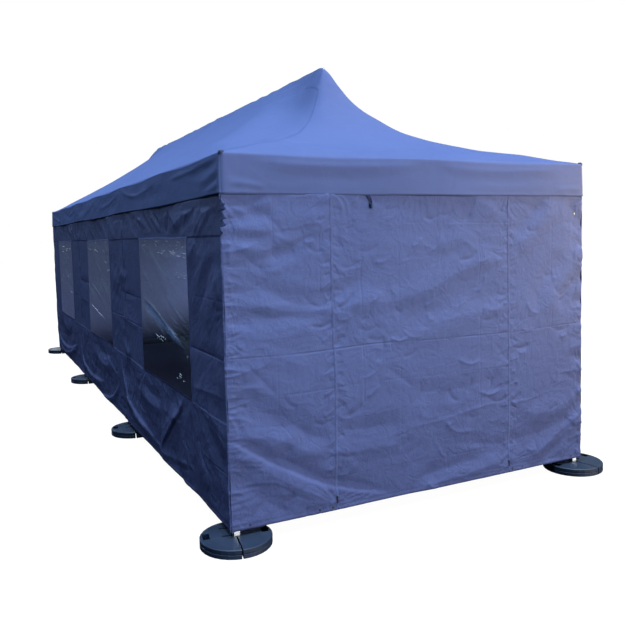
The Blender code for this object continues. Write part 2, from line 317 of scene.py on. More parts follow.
def colourMix(tree, share, first, second, blend="MIX"):
    node = addNode(tree, "ShaderNodeMix", data_type="RGBA", blend_type=blend)
    for index, value in ((0, share), (6, first), (7, second)):
        wire(tree, value, node.inputs[index])
    return node.outputs[2]


def noiseNode(tree, place, source, scale, detail, **more):
    node = addNode(tree, "ShaderNodeTexNoise", place)
    for label, value in {"Vector": source, "Scale": scale, "Detail": detail, **more}.items():
        wire(tree, value, node.inputs[label])
    return node.outputs


def smoothRange(tree, place, *values):
    # value, from and to, and then what it is at each of them
    node = addNode(tree, "ShaderNodeMapRange", place, interpolation_type="SMOOTHSTEP")
    for socket, value in zip(node.inputs, values):
        wire(tree, value, socket)
    return node.outputs[0]


def splitParts(tree, source, place=(-600, 0)):
    node = addNode(tree, "ShaderNodeSeparateXYZ", place)
    wire(tree, source, node.inputs[0])
    return node.outputs


def scaledParts(tree, parts, across, along, place=(-300, 0)):
    # the first two parts, each at its own scale, as a place for a noise
    node = addNode(tree, "ShaderNodeCombineXYZ", place)
    for index, scale in enumerate((across, along)):
        wire(tree, mathNode(tree, "MULTIPLY", parts[index], scale), node.inputs[index])
    return node.outputs[0]


def fromMiddle(tree, noise):
    return mathNode(tree, "ABSOLUTE", mathNode(tree, "SUBTRACT", noise, 0.5))


def objectPlace(tree):
    return addNode(tree, "ShaderNodeTexCoord", (-1500, 0)).outputs["Object"]


def meshMark(tree, name, place):
    # what the mesh says at each point
    return addNode(tree, "ShaderNodeAttribute", place, attribute_name=name).outputs


def bumpFrom(tree, height, shader):
    node = addNode(tree, "ShaderNodeBump", (300, -300))
    wire(tree, 1.0, node.inputs["Distance"])
    wire(tree, height, node.inputs["Height"])
    wire(tree, node.outputs[0], shader["Normal"])


def newGroup(name, inputs, outputs):
    # an input without a number is a vector
    group = bpy.data.node_groups.new(name, "ShaderNodeTree")
    for label, value in inputs.items():
        kind = "NodeSocketVector" if value is None else "NodeSocketFloat"
        socket = group.interface.new_socket(name=label, in_out="INPUT", socket_type=kind)
        if value is not None:
            socket.default_value = value
    for label in outputs:
        group.interface.new_socket(name=label, in_out="OUTPUT", socket_type="NodeSocketFloat")
    start = addNode(group, "NodeGroupInput", (-800, 0))
    end = addNode(group, "NodeGroupOutput", (800, 0))
    return group, start.outputs, end.inputs


def placeGroup(tree, group, place, source, **values):
    # the first input of every group is its vector
    node = addNode(tree, "ShaderNodeGroup", place, node_tree=group)
    wire(tree, source, node.inputs[0])
    for label, value in values.items():
        wire(tree, value, node.inputs[label])
    return node.outputs


# woven threads: over and under, on the flat cloth's own metres
weave, weaveIn, weaveOut = newGroup("weave", {"Flat": None, "Pitch": 0.002, "Depth": 0.0001},
                                    ("Height", "Tone"))
flatParts = splitParts(weave, weaveIn["Flat"])
turns = mathNode(weave, "DIVIDE", 2 * math.pi, weaveIn["Pitch"])
warp = mathNode(weave, "SINE", mathNode(weave, "MULTIPLY", flatParts[0], turns))
weft = mathNode(weave, "SINE", mathNode(weave, "MULTIPLY", flatParts[1], turns))
over = mathNode(weave, "MULTIPLY", warp, weft)
wire(weave, mathNode(weave, "MULTIPLY", over, weaveIn["Depth"]), weaveOut["Height"])
wire(weave, mathNode(weave, "MULTIPLY_ADD", over, 0.035, 1.0), weaveOut["Tone"])

# small creases that thin coated cloth keeps from its bag
creasing, creasingIn, creasingOut = newGroup(
    "packCreases", {"Where": None, "Size": 0.16, "Depth": 0.002}, ("Height", "Mask"))
wander = noiseNode(creasing, (-600, 200), creasingIn["Where"], 3.0, 2.0)["Color"]
pushed = addNode(creasing, "ShaderNodeVectorMath", (-400, 200), operation="MULTIPLY_ADD")
for socket, value in zip(pushed.inputs, (wander, (0.16, 0.16, 0.16), creasingIn["Where"])):
    wire(creasing, value, socket)
valleys = []
for share, shrink in ((1.0, 1.2), (0.50, 3.4)):
    scale = mathNode(creasing, "DIVIDE", shrink, creasingIn["Size"])
    waves = noiseNode(creasing, (-200, 200), pushed.outputs[0], scale, 1.0, Distortion=0.7)[0]
    valleys.append(mathNode(creasing, "MULTIPLY", fromMiddle(creasing, waves), 2.0 * share))
edge = mathNode(creasing, "MULTIPLY", valleys[0], 14.0, clamp=True)
both = mathNode(creasing, "ADD", *valleys)
wire(creasing, mathNode(creasing, "MULTIPLY", both, creasingIn["Depth"]), creasingOut["Height"])
wire(creasing, mathNode(creasing, "SUBTRACT", 1.0, edge), creasingOut["Mask"])

# fine wrinkles where the cloth is drawn together: the mesh says which way they run and how high they are
drawnIn, drawnInIn, drawnInOut = newGroup("drawnIn", {"Pull": None}, ("Height",))
pull = splitParts(drawnIn, drawnInIn["Pull"])
waves = noiseNode(drawnIn, (-100, 0), scaledParts(drawnIn, pull, 48.0, 7.0), 1.0, 1.5, Distortion=0.5)[0]
crest = mathNode(drawnIn, "MULTIPLY", fromMiddle(drawnIn, waves), 4.0)
wire(drawnIn, mathNode(drawnIn, "MULTIPLY", crest, pull[2]), drawnInOut["Height"])

# dust and splashes that thin out upwards on the rubber weights; on the cloth the same specks are painted
# shade, darker low down
dustAndLowShade, dustIn, dustOut = newGroup("dustAndLowShade", {"Where": None, "Low": 0.1, "High": 0.6, "Amount": 0.3}, ("Mask",))
rise = splitParts(dustAndLowShade, dustIn["Where"])[2]
thinning = smoothRange(dustAndLowShade, (-400, 0), rise, dustIn["Low"], dustIn["High"], 1.0, 0.0)
specks = noiseNode(dustAndLowShade, (-400, -300), dustIn["Where"], 9.0, 6.0, Roughness=0.7)[0]
dusty = mathNode(dustAndLowShade, "MULTIPLY", thinning, specks)
wire(dustAndLowShade, mathNode(dustAndLowShade, "MULTIPLY", dusty, dustIn["Amount"], clamp=True), dustOut["Mask"])

# fine lines and stains of drawn metal
metalGrain, metalIn, metalOut = newGroup(
    "drawnMetal", {"Where": None, "Amount": 0.3}, ("Tone", "Roughness", "Height"))
drawnOut = addNode(metalGrain, "ShaderNodeMapping", (-600, 0))
wire(metalGrain, metalIn["Where"], drawnOut.inputs["Vector"])
wire(metalGrain, (160.0, 160.0, 3.0), drawnOut.inputs["Scale"])
streaks = noiseNode(metalGrain, (-400, 0), drawnOut.outputs[0], 1.0, 4.0)[0]
stains = noiseNode(metalGrain, (-400, -300), metalIn["Where"], 7.0, 5.0)[0]
mottle = mathNode(metalGrain, "MULTIPLY_ADD", stains, 0.6, mathNode(metalGrain, "MULTIPLY", streaks, 0.4))
wire(metalGrain, mathNode(metalGrain, "MULTIPLY", mottle, metalIn["Amount"]), metalOut["Tone"])
wire(metalGrain, mathNode(metalGrain, "MULTIPLY_ADD", mottle, 0.3, 0.22), metalOut["Roughness"])
wire(metalGrain, mathNode(metalGrain, "MULTIPLY", streaks, 0.00015), metalOut["Height"])

# size and depth are those of the pack creases; glow and its tint a painted glow of the inside faces, for the
# daylight seen through the cloth; the last number how much painted shade darkens the cloth low down
clothLooks = {
    "roof": {"colour": (0.054, 0.073, 0.176), "dark": (0.046, 0.064, 0.158), "size": 0.30, "depth": 0.0016,
             "roughness": 0.66, "gloss": 0.0, "glow": 0.40, "through": (0.050, 0.072, 0.150), "dustAndLowShade": 0.0},
    "wall": {"colour": (0.053, 0.071, 0.172), "dark": (0.045, 0.061, 0.153), "size": 0.12, "depth": 0.0034,
             "roughness": 0.60, "gloss": 0.0, "glow": 0.72, "through": (0.056, 0.072, 0.140), "dustAndLowShade": 1.0},
    "side": {"colour": (0.051, 0.063, 0.156), "dark": (0.043, 0.053, 0.138), "size": 0.085, "depth": 0.0018,
             "roughness": 0.48, "gloss": 0.05, "glow": 0.58, "through": (0.056, 0.072, 0.140), "dustAndLowShade": 1.0},
    "trim": {"colour": (0.013, 0.019, 0.056), "dark": (0.010, 0.015, 0.044), "size": 0.05, "depth": 0.0008,
             "roughness": 0.60, "gloss": 0.0, "glow": 0, "dustAndLowShade": 0.0},
    "seam": {"colour": (0.046, 0.063, 0.158), "dark": (0.040, 0.056, 0.145), "size": 0.10, "depth": 0.0006,
             "roughness": 0.66, "gloss": 0.0, "glow": 0, "dustAndLowShade": 0.0},
}
# painted light and shade: a lighter colour for the long-side valances, a lighter one along the crease lines,
# a darker one towards the bottom
clothPaintedTints = {"paintedValanceLight": (0.090, 0.118, 0.262), "creaseHighlight": (0.10, 0.13, 0.26), "lowTone": (0.030, 0.037, 0.096)}


def clothMaterial(name, look, paintedTints=clothPaintedTints):
    # coated polyester: weave, pack creases, faint stains; painted light and shade: lighter long-side valances
    # and crease lines, darker specks low down, and a painted glow of the inside faces for the daylight
    # showing through
    material, tree, shader = newMaterial(name)
    where = objectPlace(tree)
    flat = addNode(tree, "ShaderNodeUVMap", (-1200, 300), uv_map="metres").outputs[0]
    threads = placeGroup(tree, weave, (-900, 300), flat, Pitch=0.0022, Depth=0.00012)
    packed = placeGroup(tree, creasing, (-900, 0), where, Size=look["size"], Depth=look["depth"])
    lowTone = placeGroup(tree, dustAndLowShade, (-900, -300), where, Low=0.05, High=1.7, Amount=look["dustAndLowShade"])
    patches = noiseNode(tree, (-900, -600), where, 1.7, 4.0)[0]
    base = colourMix(tree, patches, look["dark"], look["colour"])
    # painted light: the long-side valances are made lighter, for the skylight their flared cloth catches
    weighting = mathNode(tree, "MULTIPLY", meshMark(tree, "paintedValanceLight", (-900, -1000))["Fac"], 0.45)
    base = colourMix(tree, weighting, base, paintedTints["paintedValanceLight"])
    # painted highlight: a little lighter along the crease lines
    base = colourMix(tree, mathNode(tree, "MULTIPLY", packed["Mask"], 0.04), base, paintedTints["creaseHighlight"])
    # painted shade: darker in specks towards the bottom, where the light is dimmer
    base = colourMix(tree, lowTone["Mask"], base, paintedTints["lowTone"])
    tone = addNode(tree, "ShaderNodeCombineColor", (-300, 300))
    for channel in tone.inputs:
        wire(tree, threads["Tone"], channel)
    wire(tree, colourMix(tree, 1.0, base, tone.outputs[0], "MULTIPLY"), shader["Base Color"])
    rough = mathNode(tree, "MULTIPLY_ADD", patches, 0.16, look["roughness"] - 0.08)
    wire(tree, rough, shader["Roughness"])
    wire(tree, look["gloss"], shader["Specular IOR Level"])
    # painted glow: the inside faces give off light, for the daylight seen through the cloth, less towards the
    # bottom
    if look["glow"]:
        inside = addNode(tree, "ShaderNodeNewGeometry", (-300, -500)).outputs["Backfacing"]
        paintedDaylight = smoothRange(tree, (-300, -600), splitParts(tree, where)[2], 0.04, 0.65)
        lit = mathNode(tree, "MULTIPLY", paintedDaylight, inside)
        wire(tree, colourMix(tree, lit, (0.0, 0.0, 0.0), look["through"]), shader["Emission Color"])
        wire(tree, look["glow"], shader["Emission Strength"])
    wrinkled = placeGroup(tree, drawnIn, (-600, -800), meshMark(tree, "pull", (-900, -800))["Vector"])
    height = mathNode(tree, "ADD", packed["Height"], threads["Height"])
    bumpFrom(tree, mathNode(tree, "ADD", height, wrinkled["Height"]), shader)
    return material


roofCloth, wallCloth, sideCloth, trimCloth, seamCloth = [
    clothMaterial(kind + "Cloth", look) for kind, look in clothLooks.items()]

# painted reflections: the streak and gleam colours are light painted on the film
filmLook = {"haze": (0.027, 0.036, 0.063), "reflectionStreak": (0.27, 0.32, 0.42), "gleam": (0.20, 0.29, 0.56),
            "alpha": 0.22,
            # across, along, how sharp, how strong
            "streaks": ((44.0, 0.8, 13.0, 1.0), (120.0, 1.8, 8.0, 0.8))}


def filmMaterial(name, look=filmLook):
    # clear film, a little hazy; painted reflections: fine light streaks along its folds, and bright bands
    material, tree, shader = newMaterial(name)
    where = objectPlace(tree)
    packed = placeGroup(tree, creasing, (-900, 0), where, Size=0.07, Depth=0.0026)
    cloudy = noiseNode(tree, (-900, -400), where, 4.0, 6.0)[0]
    run = splitParts(tree, meshMark(tree, "reflectionStreak", (-1500, -500))["Vector"], (-1300, -500))
    lines = 0.0
    for across, along, sharp, share in look["streaks"]:
        drawnOut = scaledParts(tree, run, across, along, (-1100, -500))
        threads = noiseNode(tree, (-900, -600), drawnOut, 1.0, 1.0)[0]
        off = mathNode(tree, "MULTIPLY", fromMiddle(tree, threads), sharp)
        lines = mathNode(tree, "MULTIPLY_ADD", mathNode(tree, "SUBTRACT", 1.0, off, clamp=True), share, lines)
    # painted reflection: paler, less clear lines where the film would mirror the sky
    reflectionStreaks = mathNode(tree, "MULTIPLY", lines, run[2])
    # painted highlight: the bright bands are paler and less clear
    bright = mathNode(tree, "MULTIPLY", meshMark(tree, "gleam", (-1500, -900))["Fac"], 1.0, clamp=True)
    streakShare = mathNode(tree, "MULTIPLY", reflectionStreaks, 0.55, clamp=True)
    base = colourMix(tree, streakShare, look["haze"], look["reflectionStreak"])
    wire(tree, colourMix(tree, bright, base, look["gleam"]), shader["Base Color"])
    wire(tree, mathNode(tree, "MULTIPLY_ADD", cloudy, 0.14, 0.08), shader["Roughness"])
    veil = mathNode(tree, "MULTIPLY_ADD", cloudy, 0.16, look["alpha"] - 0.08)
    veil = mathNode(tree, "MULTIPLY_ADD", reflectionStreaks, 0.20, veil)
    wire(tree, mathNode(tree, "MULTIPLY_ADD", bright, 0.65, veil, clamp=True), shader["Alpha"])
    wire(tree, 1.52, shader["IOR"])
    wire(tree, 0.6, shader["Specular IOR Level"])
    bumpFrom(tree, mathNode(tree, "MULTIPLY_ADD", reflectionStreaks, 0.00035, packed["Height"]), shader)
    return material


def plasticMaterial(name, colour, mottleColour, roughness, scale, contrast=1.0):
    # moulded plastic or blackened metal: faint mottling, and a fine grain
    material, tree, shader = newMaterial(name)
    mottle = noiseNode(tree, (-700, 0), objectPlace(tree), scale, 4.0)[0]
    share = mathNode(tree, "MULTIPLY_ADD", mottle, contrast, 0.5 - 0.5 * contrast, clamp=True)
    wire(tree, colourMix(tree, share, colour, mottleColour), shader["Base Color"])
    wire(tree, mathNode(tree, "MULTIPLY_ADD", mottle, 0.2, roughness - 0.1), shader["Roughness"])
    wire(tree, 0.15, shader["Specular IOR Level"])
    bumpFrom(tree, mathNode(tree, "MULTIPLY", mottle, 0.0003), shader)
    return material


def metalMaterial(name, colour, shade):
    material, tree, shader = newMaterial(name)
    grain = placeGroup(tree, metalGrain, (-700, 0), objectPlace(tree), Amount=0.8)
    wire(tree, colourMix(tree, grain["Tone"], colour, shade), shader["Base Color"])
    wire(tree, grain["Roughness"], shader["Roughness"])
    wire(tree, 1.0, shader["Metallic"])
    bumpFrom(tree, grain["Height"], shader)
    return material


def rubberMaterial(name, dark, pale, dusty):
    # moulded rubber: dusty, with a fine grain
    material, tree, shader = newMaterial(name)
    where = objectPlace(tree)
    grain = noiseNode(tree, (-900, 0), where, 240.0, 3.0)[0]
    blotch = noiseNode(tree, (-900, -300), where, 11.0, 6.0)[0]
    lowTone = placeGroup(tree, dustAndLowShade, (-900, -600), where, Low=-0.05, High=0.12, Amount=0.7)
    base = colourMix(tree, blotch, dark, pale)
    wire(tree, colourMix(tree, lowTone["Mask"], base, dusty), shader["Base Color"])
    wire(tree, 0.25, shader["Specular IOR Level"])
    wire(tree, mathNode(tree, "MULTIPLY_ADD", blotch, 0.25, 0.42), shader["Roughness"])
    bumpFrom(tree, mathNode(tree, "MULTIPLY", grain, 0.0006), shader)
    return material


clearFilm = filmMaterial("clearFilm")
darkPlastic = plasticMaterial("darkPlastic", (0.008, 0.016, 0.048), (0.013, 0.024, 0.068), 0.60, 60.0)
zipPlastic = plasticMaterial("zipPlastic", (0.026, 0.036, 0.092), (0.058, 0.078, 0.186), 0.5, 24.0, 5.0)
blackenedSteel = plasticMaterial("blackenedSteel", (0.006, 0.007, 0.012), (0.016, 0.017, 0.024), 0.4, 220.0)
# pale, so that the film's crinkles show as glints: painted glints
filmGlint = plasticMaterial("filmGlint", (0.42, 0.48, 0.60), (0.66, 0.72, 0.82), 0.3, 30.0)
aluminium = metalMaterial("aluminium", (0.74, 0.75, 0.77), (0.48, 0.50, 0.53))
weightRubber = rubberMaterial(
    "weightRubber", (0.0016, 0.0051, 0.0155), (0.0040, 0.0114, 0.0310), (0.008, 0.017, 0.039))
print("materials made")


# the roof, its rounded eave and the valance, in one sheet

canopyPlan = {
    "edgeSteps": [0.0, 0.0012, 0.0045, 0.010, 0.0175, 0.027, 0.038, 0.051, 0.066, 0.084],
    "step": 0.026,
    "fineStep": 0.0148,  # near the ridge, where the cloth is wrinkled
    "proud": 0.009,  # how far the eave stands out past the CAD's
    "cornerRound": 0.034,
    "endRound": (0.012, 0.030),  # of the eave: at a support, and half way between two
    "sideRound": (0.010, 0.024),
    "pull": 0.010,  # how far the eave is drawn in between supports
    "wrinkledTo": -1.7,  # y, as far as the ridge's fine lines go
    "valanceRows": 18,
    "valanceOut": (0.006, 0.009),  # of the ends and of the long sides, at the hem
    "share": (0.42, 0.86, 0.60),  # of a straight slope in the rise: front, middle, back
    "power": 4.5,  # of the steep rise by the ridge
    "patch": 0.125,
    "capRadius": 0.019,
}


def insetLines(reach, plan):
    # close lines by the eave and by the ridge, even ones between
    lines = list(plan["edgeSteps"])
    fineFrom = reach - 0.42
    count = int(round((fineFrom - lines[-1]) / plan["step"]))
    lines += list(np.linspace(lines[-1], fineFrom, count + 1))[1:]
    count = int(round((reach - fineFrom) / plan["fineStep"]))
    return lines + list(np.linspace(fineFrom, reach, count + 1))[1:]


def roofHeight(x, y):
    fromSide = tent["outerX"] - np.abs(x)
    fromEnd = tent["outerY"] - np.abs(y)
    inset = np.minimum(fromSide, fromEnd)
    apart = np.abs(fromSide - fromEnd)
    # the hips are rounded, more so higher up
    wide = 0.055 + 0.080 * easeStep(0.05, 0.35, -x)
    roundness = 0.010 + wide * easeStep(0.4, 1.1, inset) * (1.0 - easeStep(1.41, 1.50, inset))
    share = np.clip((inset - roundness * 0.5 * np.exp(-apart / roundness)) / tent["outerX"], 0.0, 1.0)
    front, middle, back = canopyPlan["share"]
    endShare = np.where(y < 0, front, back)
    # the ends sag the most: away from the hips the long slopes are straighter
    onSide = easeStep(0.0, 1.0, (fromEnd - fromSide) / np.where(x < 0, 0.95, 2.8))
    straight = endShare + (middle - endShare) * onSide
    rise = straight * share + (1.0 - straight) * share ** canopyPlan["power"]
    return tent["eaveZ"] + (tent["ridgeZ"] - tent["eaveZ"]) * rise


def betweenSupports(x, y):
    # 0 at a leg or a truss joint, 1 half way between two, for a place on the eave
    onEnd = tent["outerY"] - np.abs(y) < tent["outerX"] - np.abs(x)
    run = np.where(onEnd, x, y)
    half = np.where(onEnd, tent["outerX"], tent["outerY"])
    run = run / half * np.where(onEnd, 1.5, 4.5)
    return np.sin(np.pi * run / 1.5) ** 2


# heights over the plain slope, by (x, y)
roofFolds = [
    ("crease", -0.008, 0.013, [(-0.02, -2.98), (-0.09, -2.72), (-0.15, -2.4), (-0.22, -2.05)]),
    ("crease", -0.007, 0.012, [(-0.04, -2.97), (-0.14, -2.66), (-0.22, -2.35), (-0.33, -1.95)]),
    ("crease", -0.006, 0.012, [(-0.1, -2.86), (-0.22, -2.52), (-0.33, -2.2)]),
    ("crease", -0.006, 0.012, [(-0.02, -2.7), (-0.07, -2.4), (-0.12, -2.1), (-0.15, -1.8)]),
    ("soft", 0.004, 0.05, [(-0.05, -2.9), (-0.11, -2.6), (-0.18, -2.25), (-0.28, -1.9)]),
    ("crease", -0.004, 0.013, [(-0.3, -2.5), (-0.46, -2.0), (-0.57, -1.6)]),
    ("crease", -0.004, 0.013, [(-0.4, -2.3), (-0.55, -1.9)]),
    ("crease", -0.005, 0.012, [(-1.5, -4.478), (-1.25, -4.462), (-0.98, -4.47)]),
    ("crease", -0.004, 0.012, [(-1.46, -4.455), (-1.2, -4.425), (-0.9, -4.44)]),
    ("crease", -0.005, 0.016, [(-0.6, -4.468), (-0.25, -4.448), (0.05, -4.47)]),
    ("crease", -0.005, 0.014, [(-1.478, -4.46), (-1.462, -4.1), (-1.47, -3.7)]),
    ("soft", -0.006, 0.06, [(-0.04, 2.9), (-0.15, 2.4), (-0.22, 1.9)]),
    ("soft", -0.006, 0.05, [(-0.03, 0.1), (-0.12, 0.6), (-0.16, 1.0)]),
    ("soft", -0.006, 0.05, [(-0.03, -0.1), (-0.12, -0.6), (-0.16, -1.0)]),
    ("soft", -0.007, 0.05, [(0.05, -2.9), (0.16, -2.5), (0.27, -2.0)]),
    ("soft", -0.007, 0.05, [(0.05, 2.9), (0.16, 2.5), (0.27, 2.0)]),
    ("soft", -0.006, 0.045, [(0.03, 0.1), (0.12, 0.6), (0.16, 1.0)]),
    ("soft", 0.01, 0.09, [(-1.45, -4.3), (-1.1, -4.15), (-0.6, -4.25), (-0.15, -4.4)]),
    ("soft", -0.008, 0.08, [(-1.35, -4.2), (-0.9, -3.95), (-0.3, -4.15), (0.0, -4.45)]),
    ("soft", 0.009, 0.09, [(0.1, -4.42), (0.6, -4.22), (1.1, -4.18), (1.45, -4.35)]),
    ("soft", 0.01, 0.11, [(-1.4, -4.2), (-1.15, -3.6), (-1.2, -3.1)]),
    ("soft", -0.01, 0.12, [(-1.38, -2.9), (-1.05, -2.2), (-1.25, -1.6)]),
    ("soft", 0.01, 0.12, [(-1.4, -1.4), (-1.1, -0.8), (-1.35, -0.1)]),
    ("soft", 0.01, 0.12, [(1.4, -1.4), (1.1, -0.8), (1.35, -0.1)]),
    ("soft", -0.01, 0.12, [(1.38, 2.9), (1.05, 2.2), (1.25, 1.6)]),
    ("soft", 0.01, 0.12, [(1.4, 1.4), (1.1, 0.8), (1.35, 0.1)]),
]

# on the valance, by (metres from a corner along it, height): the side that shows, then the front
valanceSideFolds = [
    ("lap", 0.009, 0.018, [(-4.56, 2.44), (-4.2, 2.42), (-3.75, 2.395), (-3.3, 2.39)]),
    ("soft", -0.008, 0.018, [(-4.56, 2.415), (-4.2, 2.38), (-3.85, 2.36)]),
    ("soft", 0.007, 0.016, [(-4.56, 2.375), (-4.3, 2.33), (-4.05, 2.3)]),
    ("soft", -0.007, 0.014, [(-4.56, 2.33), (-4.36, 2.28), (-4.15, 2.25)]),
    ("soft", 0.007, 0.012, [(-4.56, 2.29), (-4.38, 2.25), (-4.22, 2.23)]),
    ("soft", -0.006, 0.01, [(-4.56, 2.255), (-4.4, 2.235), (-4.26, 2.22)]),
    ("lap", 0.006, 0.02, [(-3.02, 2.42), (-2.7, 2.37), (-2.2, 2.34), (-1.8, 2.35)]),
    ("soft", -0.006, 0.03, [(-3.35, 2.32), (-2.8, 2.3), (-2.1, 2.27)]),
    ("lap", 0.006, 0.025, [(-1.55, 2.42), (-1.95, 2.36), (-2.35, 2.33)]),
    ("lap", 0.007, 0.028, [(-1.48, 2.42), (-1.1, 2.36), (-0.6, 2.31), (-0.2, 2.31)]),
    ("soft", -0.006, 0.03, [(-1.45, 2.36), (-1.1, 2.28), (-0.7, 2.24)]),
    ("soft", 0.007, 0.03, [(0.0, 2.42), (0.4, 2.34), (0.9, 2.29), (1.4, 2.26)]),
    ("soft", -0.006, 0.03, [(0.0, 2.38), (0.5, 2.3), (0.9, 2.26)]),
    ("lap", 0.007, 0.03, [(1.52, 2.42), (1.9, 2.36), (2.4, 2.31)]),
    ("soft", -0.006, 0.03, [(3.0, 2.42), (2.6, 2.34), (2.1, 2.3)]),
    ("lap", 0.007, 0.03, [(4.5, 2.42), (4.1, 2.35), (3.6, 2.29), (3.2, 2.28)]),
]
valanceEndFolds = [
    ("crease", 0.003, 0.01, [(-1.52, 2.3), (-1.42, 2.296), (-1.3, 2.27)]),
    ("crease", -0.003, 0.01, [(-1.52, 2.275), (-1.44, 2.262), (-1.36, 2.24)]),
    ("soft", 0.006, 0.016, [(-1.52, 2.256), (-1.38, 2.262), (-1.22, 2.25)]),
    ("soft", -0.006, 0.012, [(-1.52, 2.24), (-1.36, 2.246), (-1.22, 2.236)]),
    ("soft", 0.005, 0.012, [(-1.52, 2.226), (-1.38, 2.232), (-1.28, 2.224)]),
    ("soft", 0.006, 0.032, [(-1.35, 2.43), (-0.9, 2.4), (-0.4, 2.41), (0.05, 2.43)]),
    ("soft", -0.003, 0.035, [(-1.2, 2.33), (-0.6, 2.31), (-0.2, 2.34)]),
    ("soft", 0.006, 0.034, [(0.05, 2.43), (0.45, 2.39), (0.95, 2.4), (1.35, 2.43)]),
    ("soft", 0.005, 0.018, [(1.52, 2.262), (1.36, 2.254), (1.2, 2.262)]),
    ("soft", -0.005, 0.014, [(1.52, 2.24), (1.4, 2.236), (1.28, 2.244)]),
    ("soft", 0.003, 0.03, [(0.3, 2.29), (0.8, 2.27), (1.2, 2.3)]),
]


def canopyTop(x, y):
    # the roof cloth with its folds, before the eave is rounded
    inset = np.minimum(tent["outerX"] - np.abs(x), tent["outerY"] - np.abs(y))
    z = roofHeight(x, y) + foldHeights(x, y, roofFolds)
    loose = easeStep(0.0, 0.25, inset) * easeStep(0.0, 0.30, tent["outerX"] - inset)
    z += loose * (0.005 * softNoise(x, y, 0.55, 11) + 0.0020 * softNoise(x, y, 0.21, 12))
    z += easeStep(0.0, 0.1, inset) * crumple(x, y, 0.34, 0.0018, 14)
    # the ridge dips and wavers a little between the poles, and each peak is blunt
    onRidge = np.exp(-(x / 0.07) ** 2) * (np.abs(y) < tent["peakY"])
    z -= onRidge * 0.004 * np.sin(np.pi * y / tent["peakY"]) ** 2
    z += onRidge * (0.007 * softNoise(x * 0.1, y, 0.15, 16) + 0.004 * softNoise(x * 0.1, y, 0.42, 17) - 0.003)
    offHip = np.abs(tent["outerX"] - np.abs(x) - tent["outerY"] + np.abs(y))
    onHip = np.exp(-offHip / 0.07) * (np.abs(y) > tent["peakY"])
    onHip = onHip * easeStep(0.25, 0.6, inset) * (1.0 - easeStep(1.30, 1.42, inset))
    z += onHip * 0.009 * softNoise(x, y, 0.15, 18)
    for peak in (-tent["peakY"], 0.0, tent["peakY"]):
        away = np.hypot(x, y - peak)
        z += 0.30 * (tent["ridgeZ"] - z) * np.exp(-(away / 0.14) ** 2) - 0.015 * np.exp(-(away / 0.05) ** 2)
    return z


def canopySurface(x, y, plan=canopyPlan):
    # with the eave rounded
    ox = tent["outerX"] + plan["proud"]
    oy = tent["outerY"] + plan["proud"]
    inset = np.minimum(ox - np.abs(x), oy - np.abs(y))
    atEnd = easeStep(-0.10, 0.10, (ox - np.abs(x)) - (oy - np.abs(y)))
    low = plan["sideRound"][0] + (plan["endRound"][0] - plan["sideRound"][0]) * atEnd
    high = plan["sideRound"][1] + (plan["endRound"][1] - plan["sideRound"][1]) * atEnd
    radius = low + (high - low) * betweenSupports(x, y) * (1.0 + 0.12 * softNoise(x, y, 0.4, 15))
    t = np.clip(radius - inset, 0.0, radius)
    return canopyTop(x, y) - (radius - np.sqrt(np.maximum(radius ** 2 - t ** 2, 0.0)))


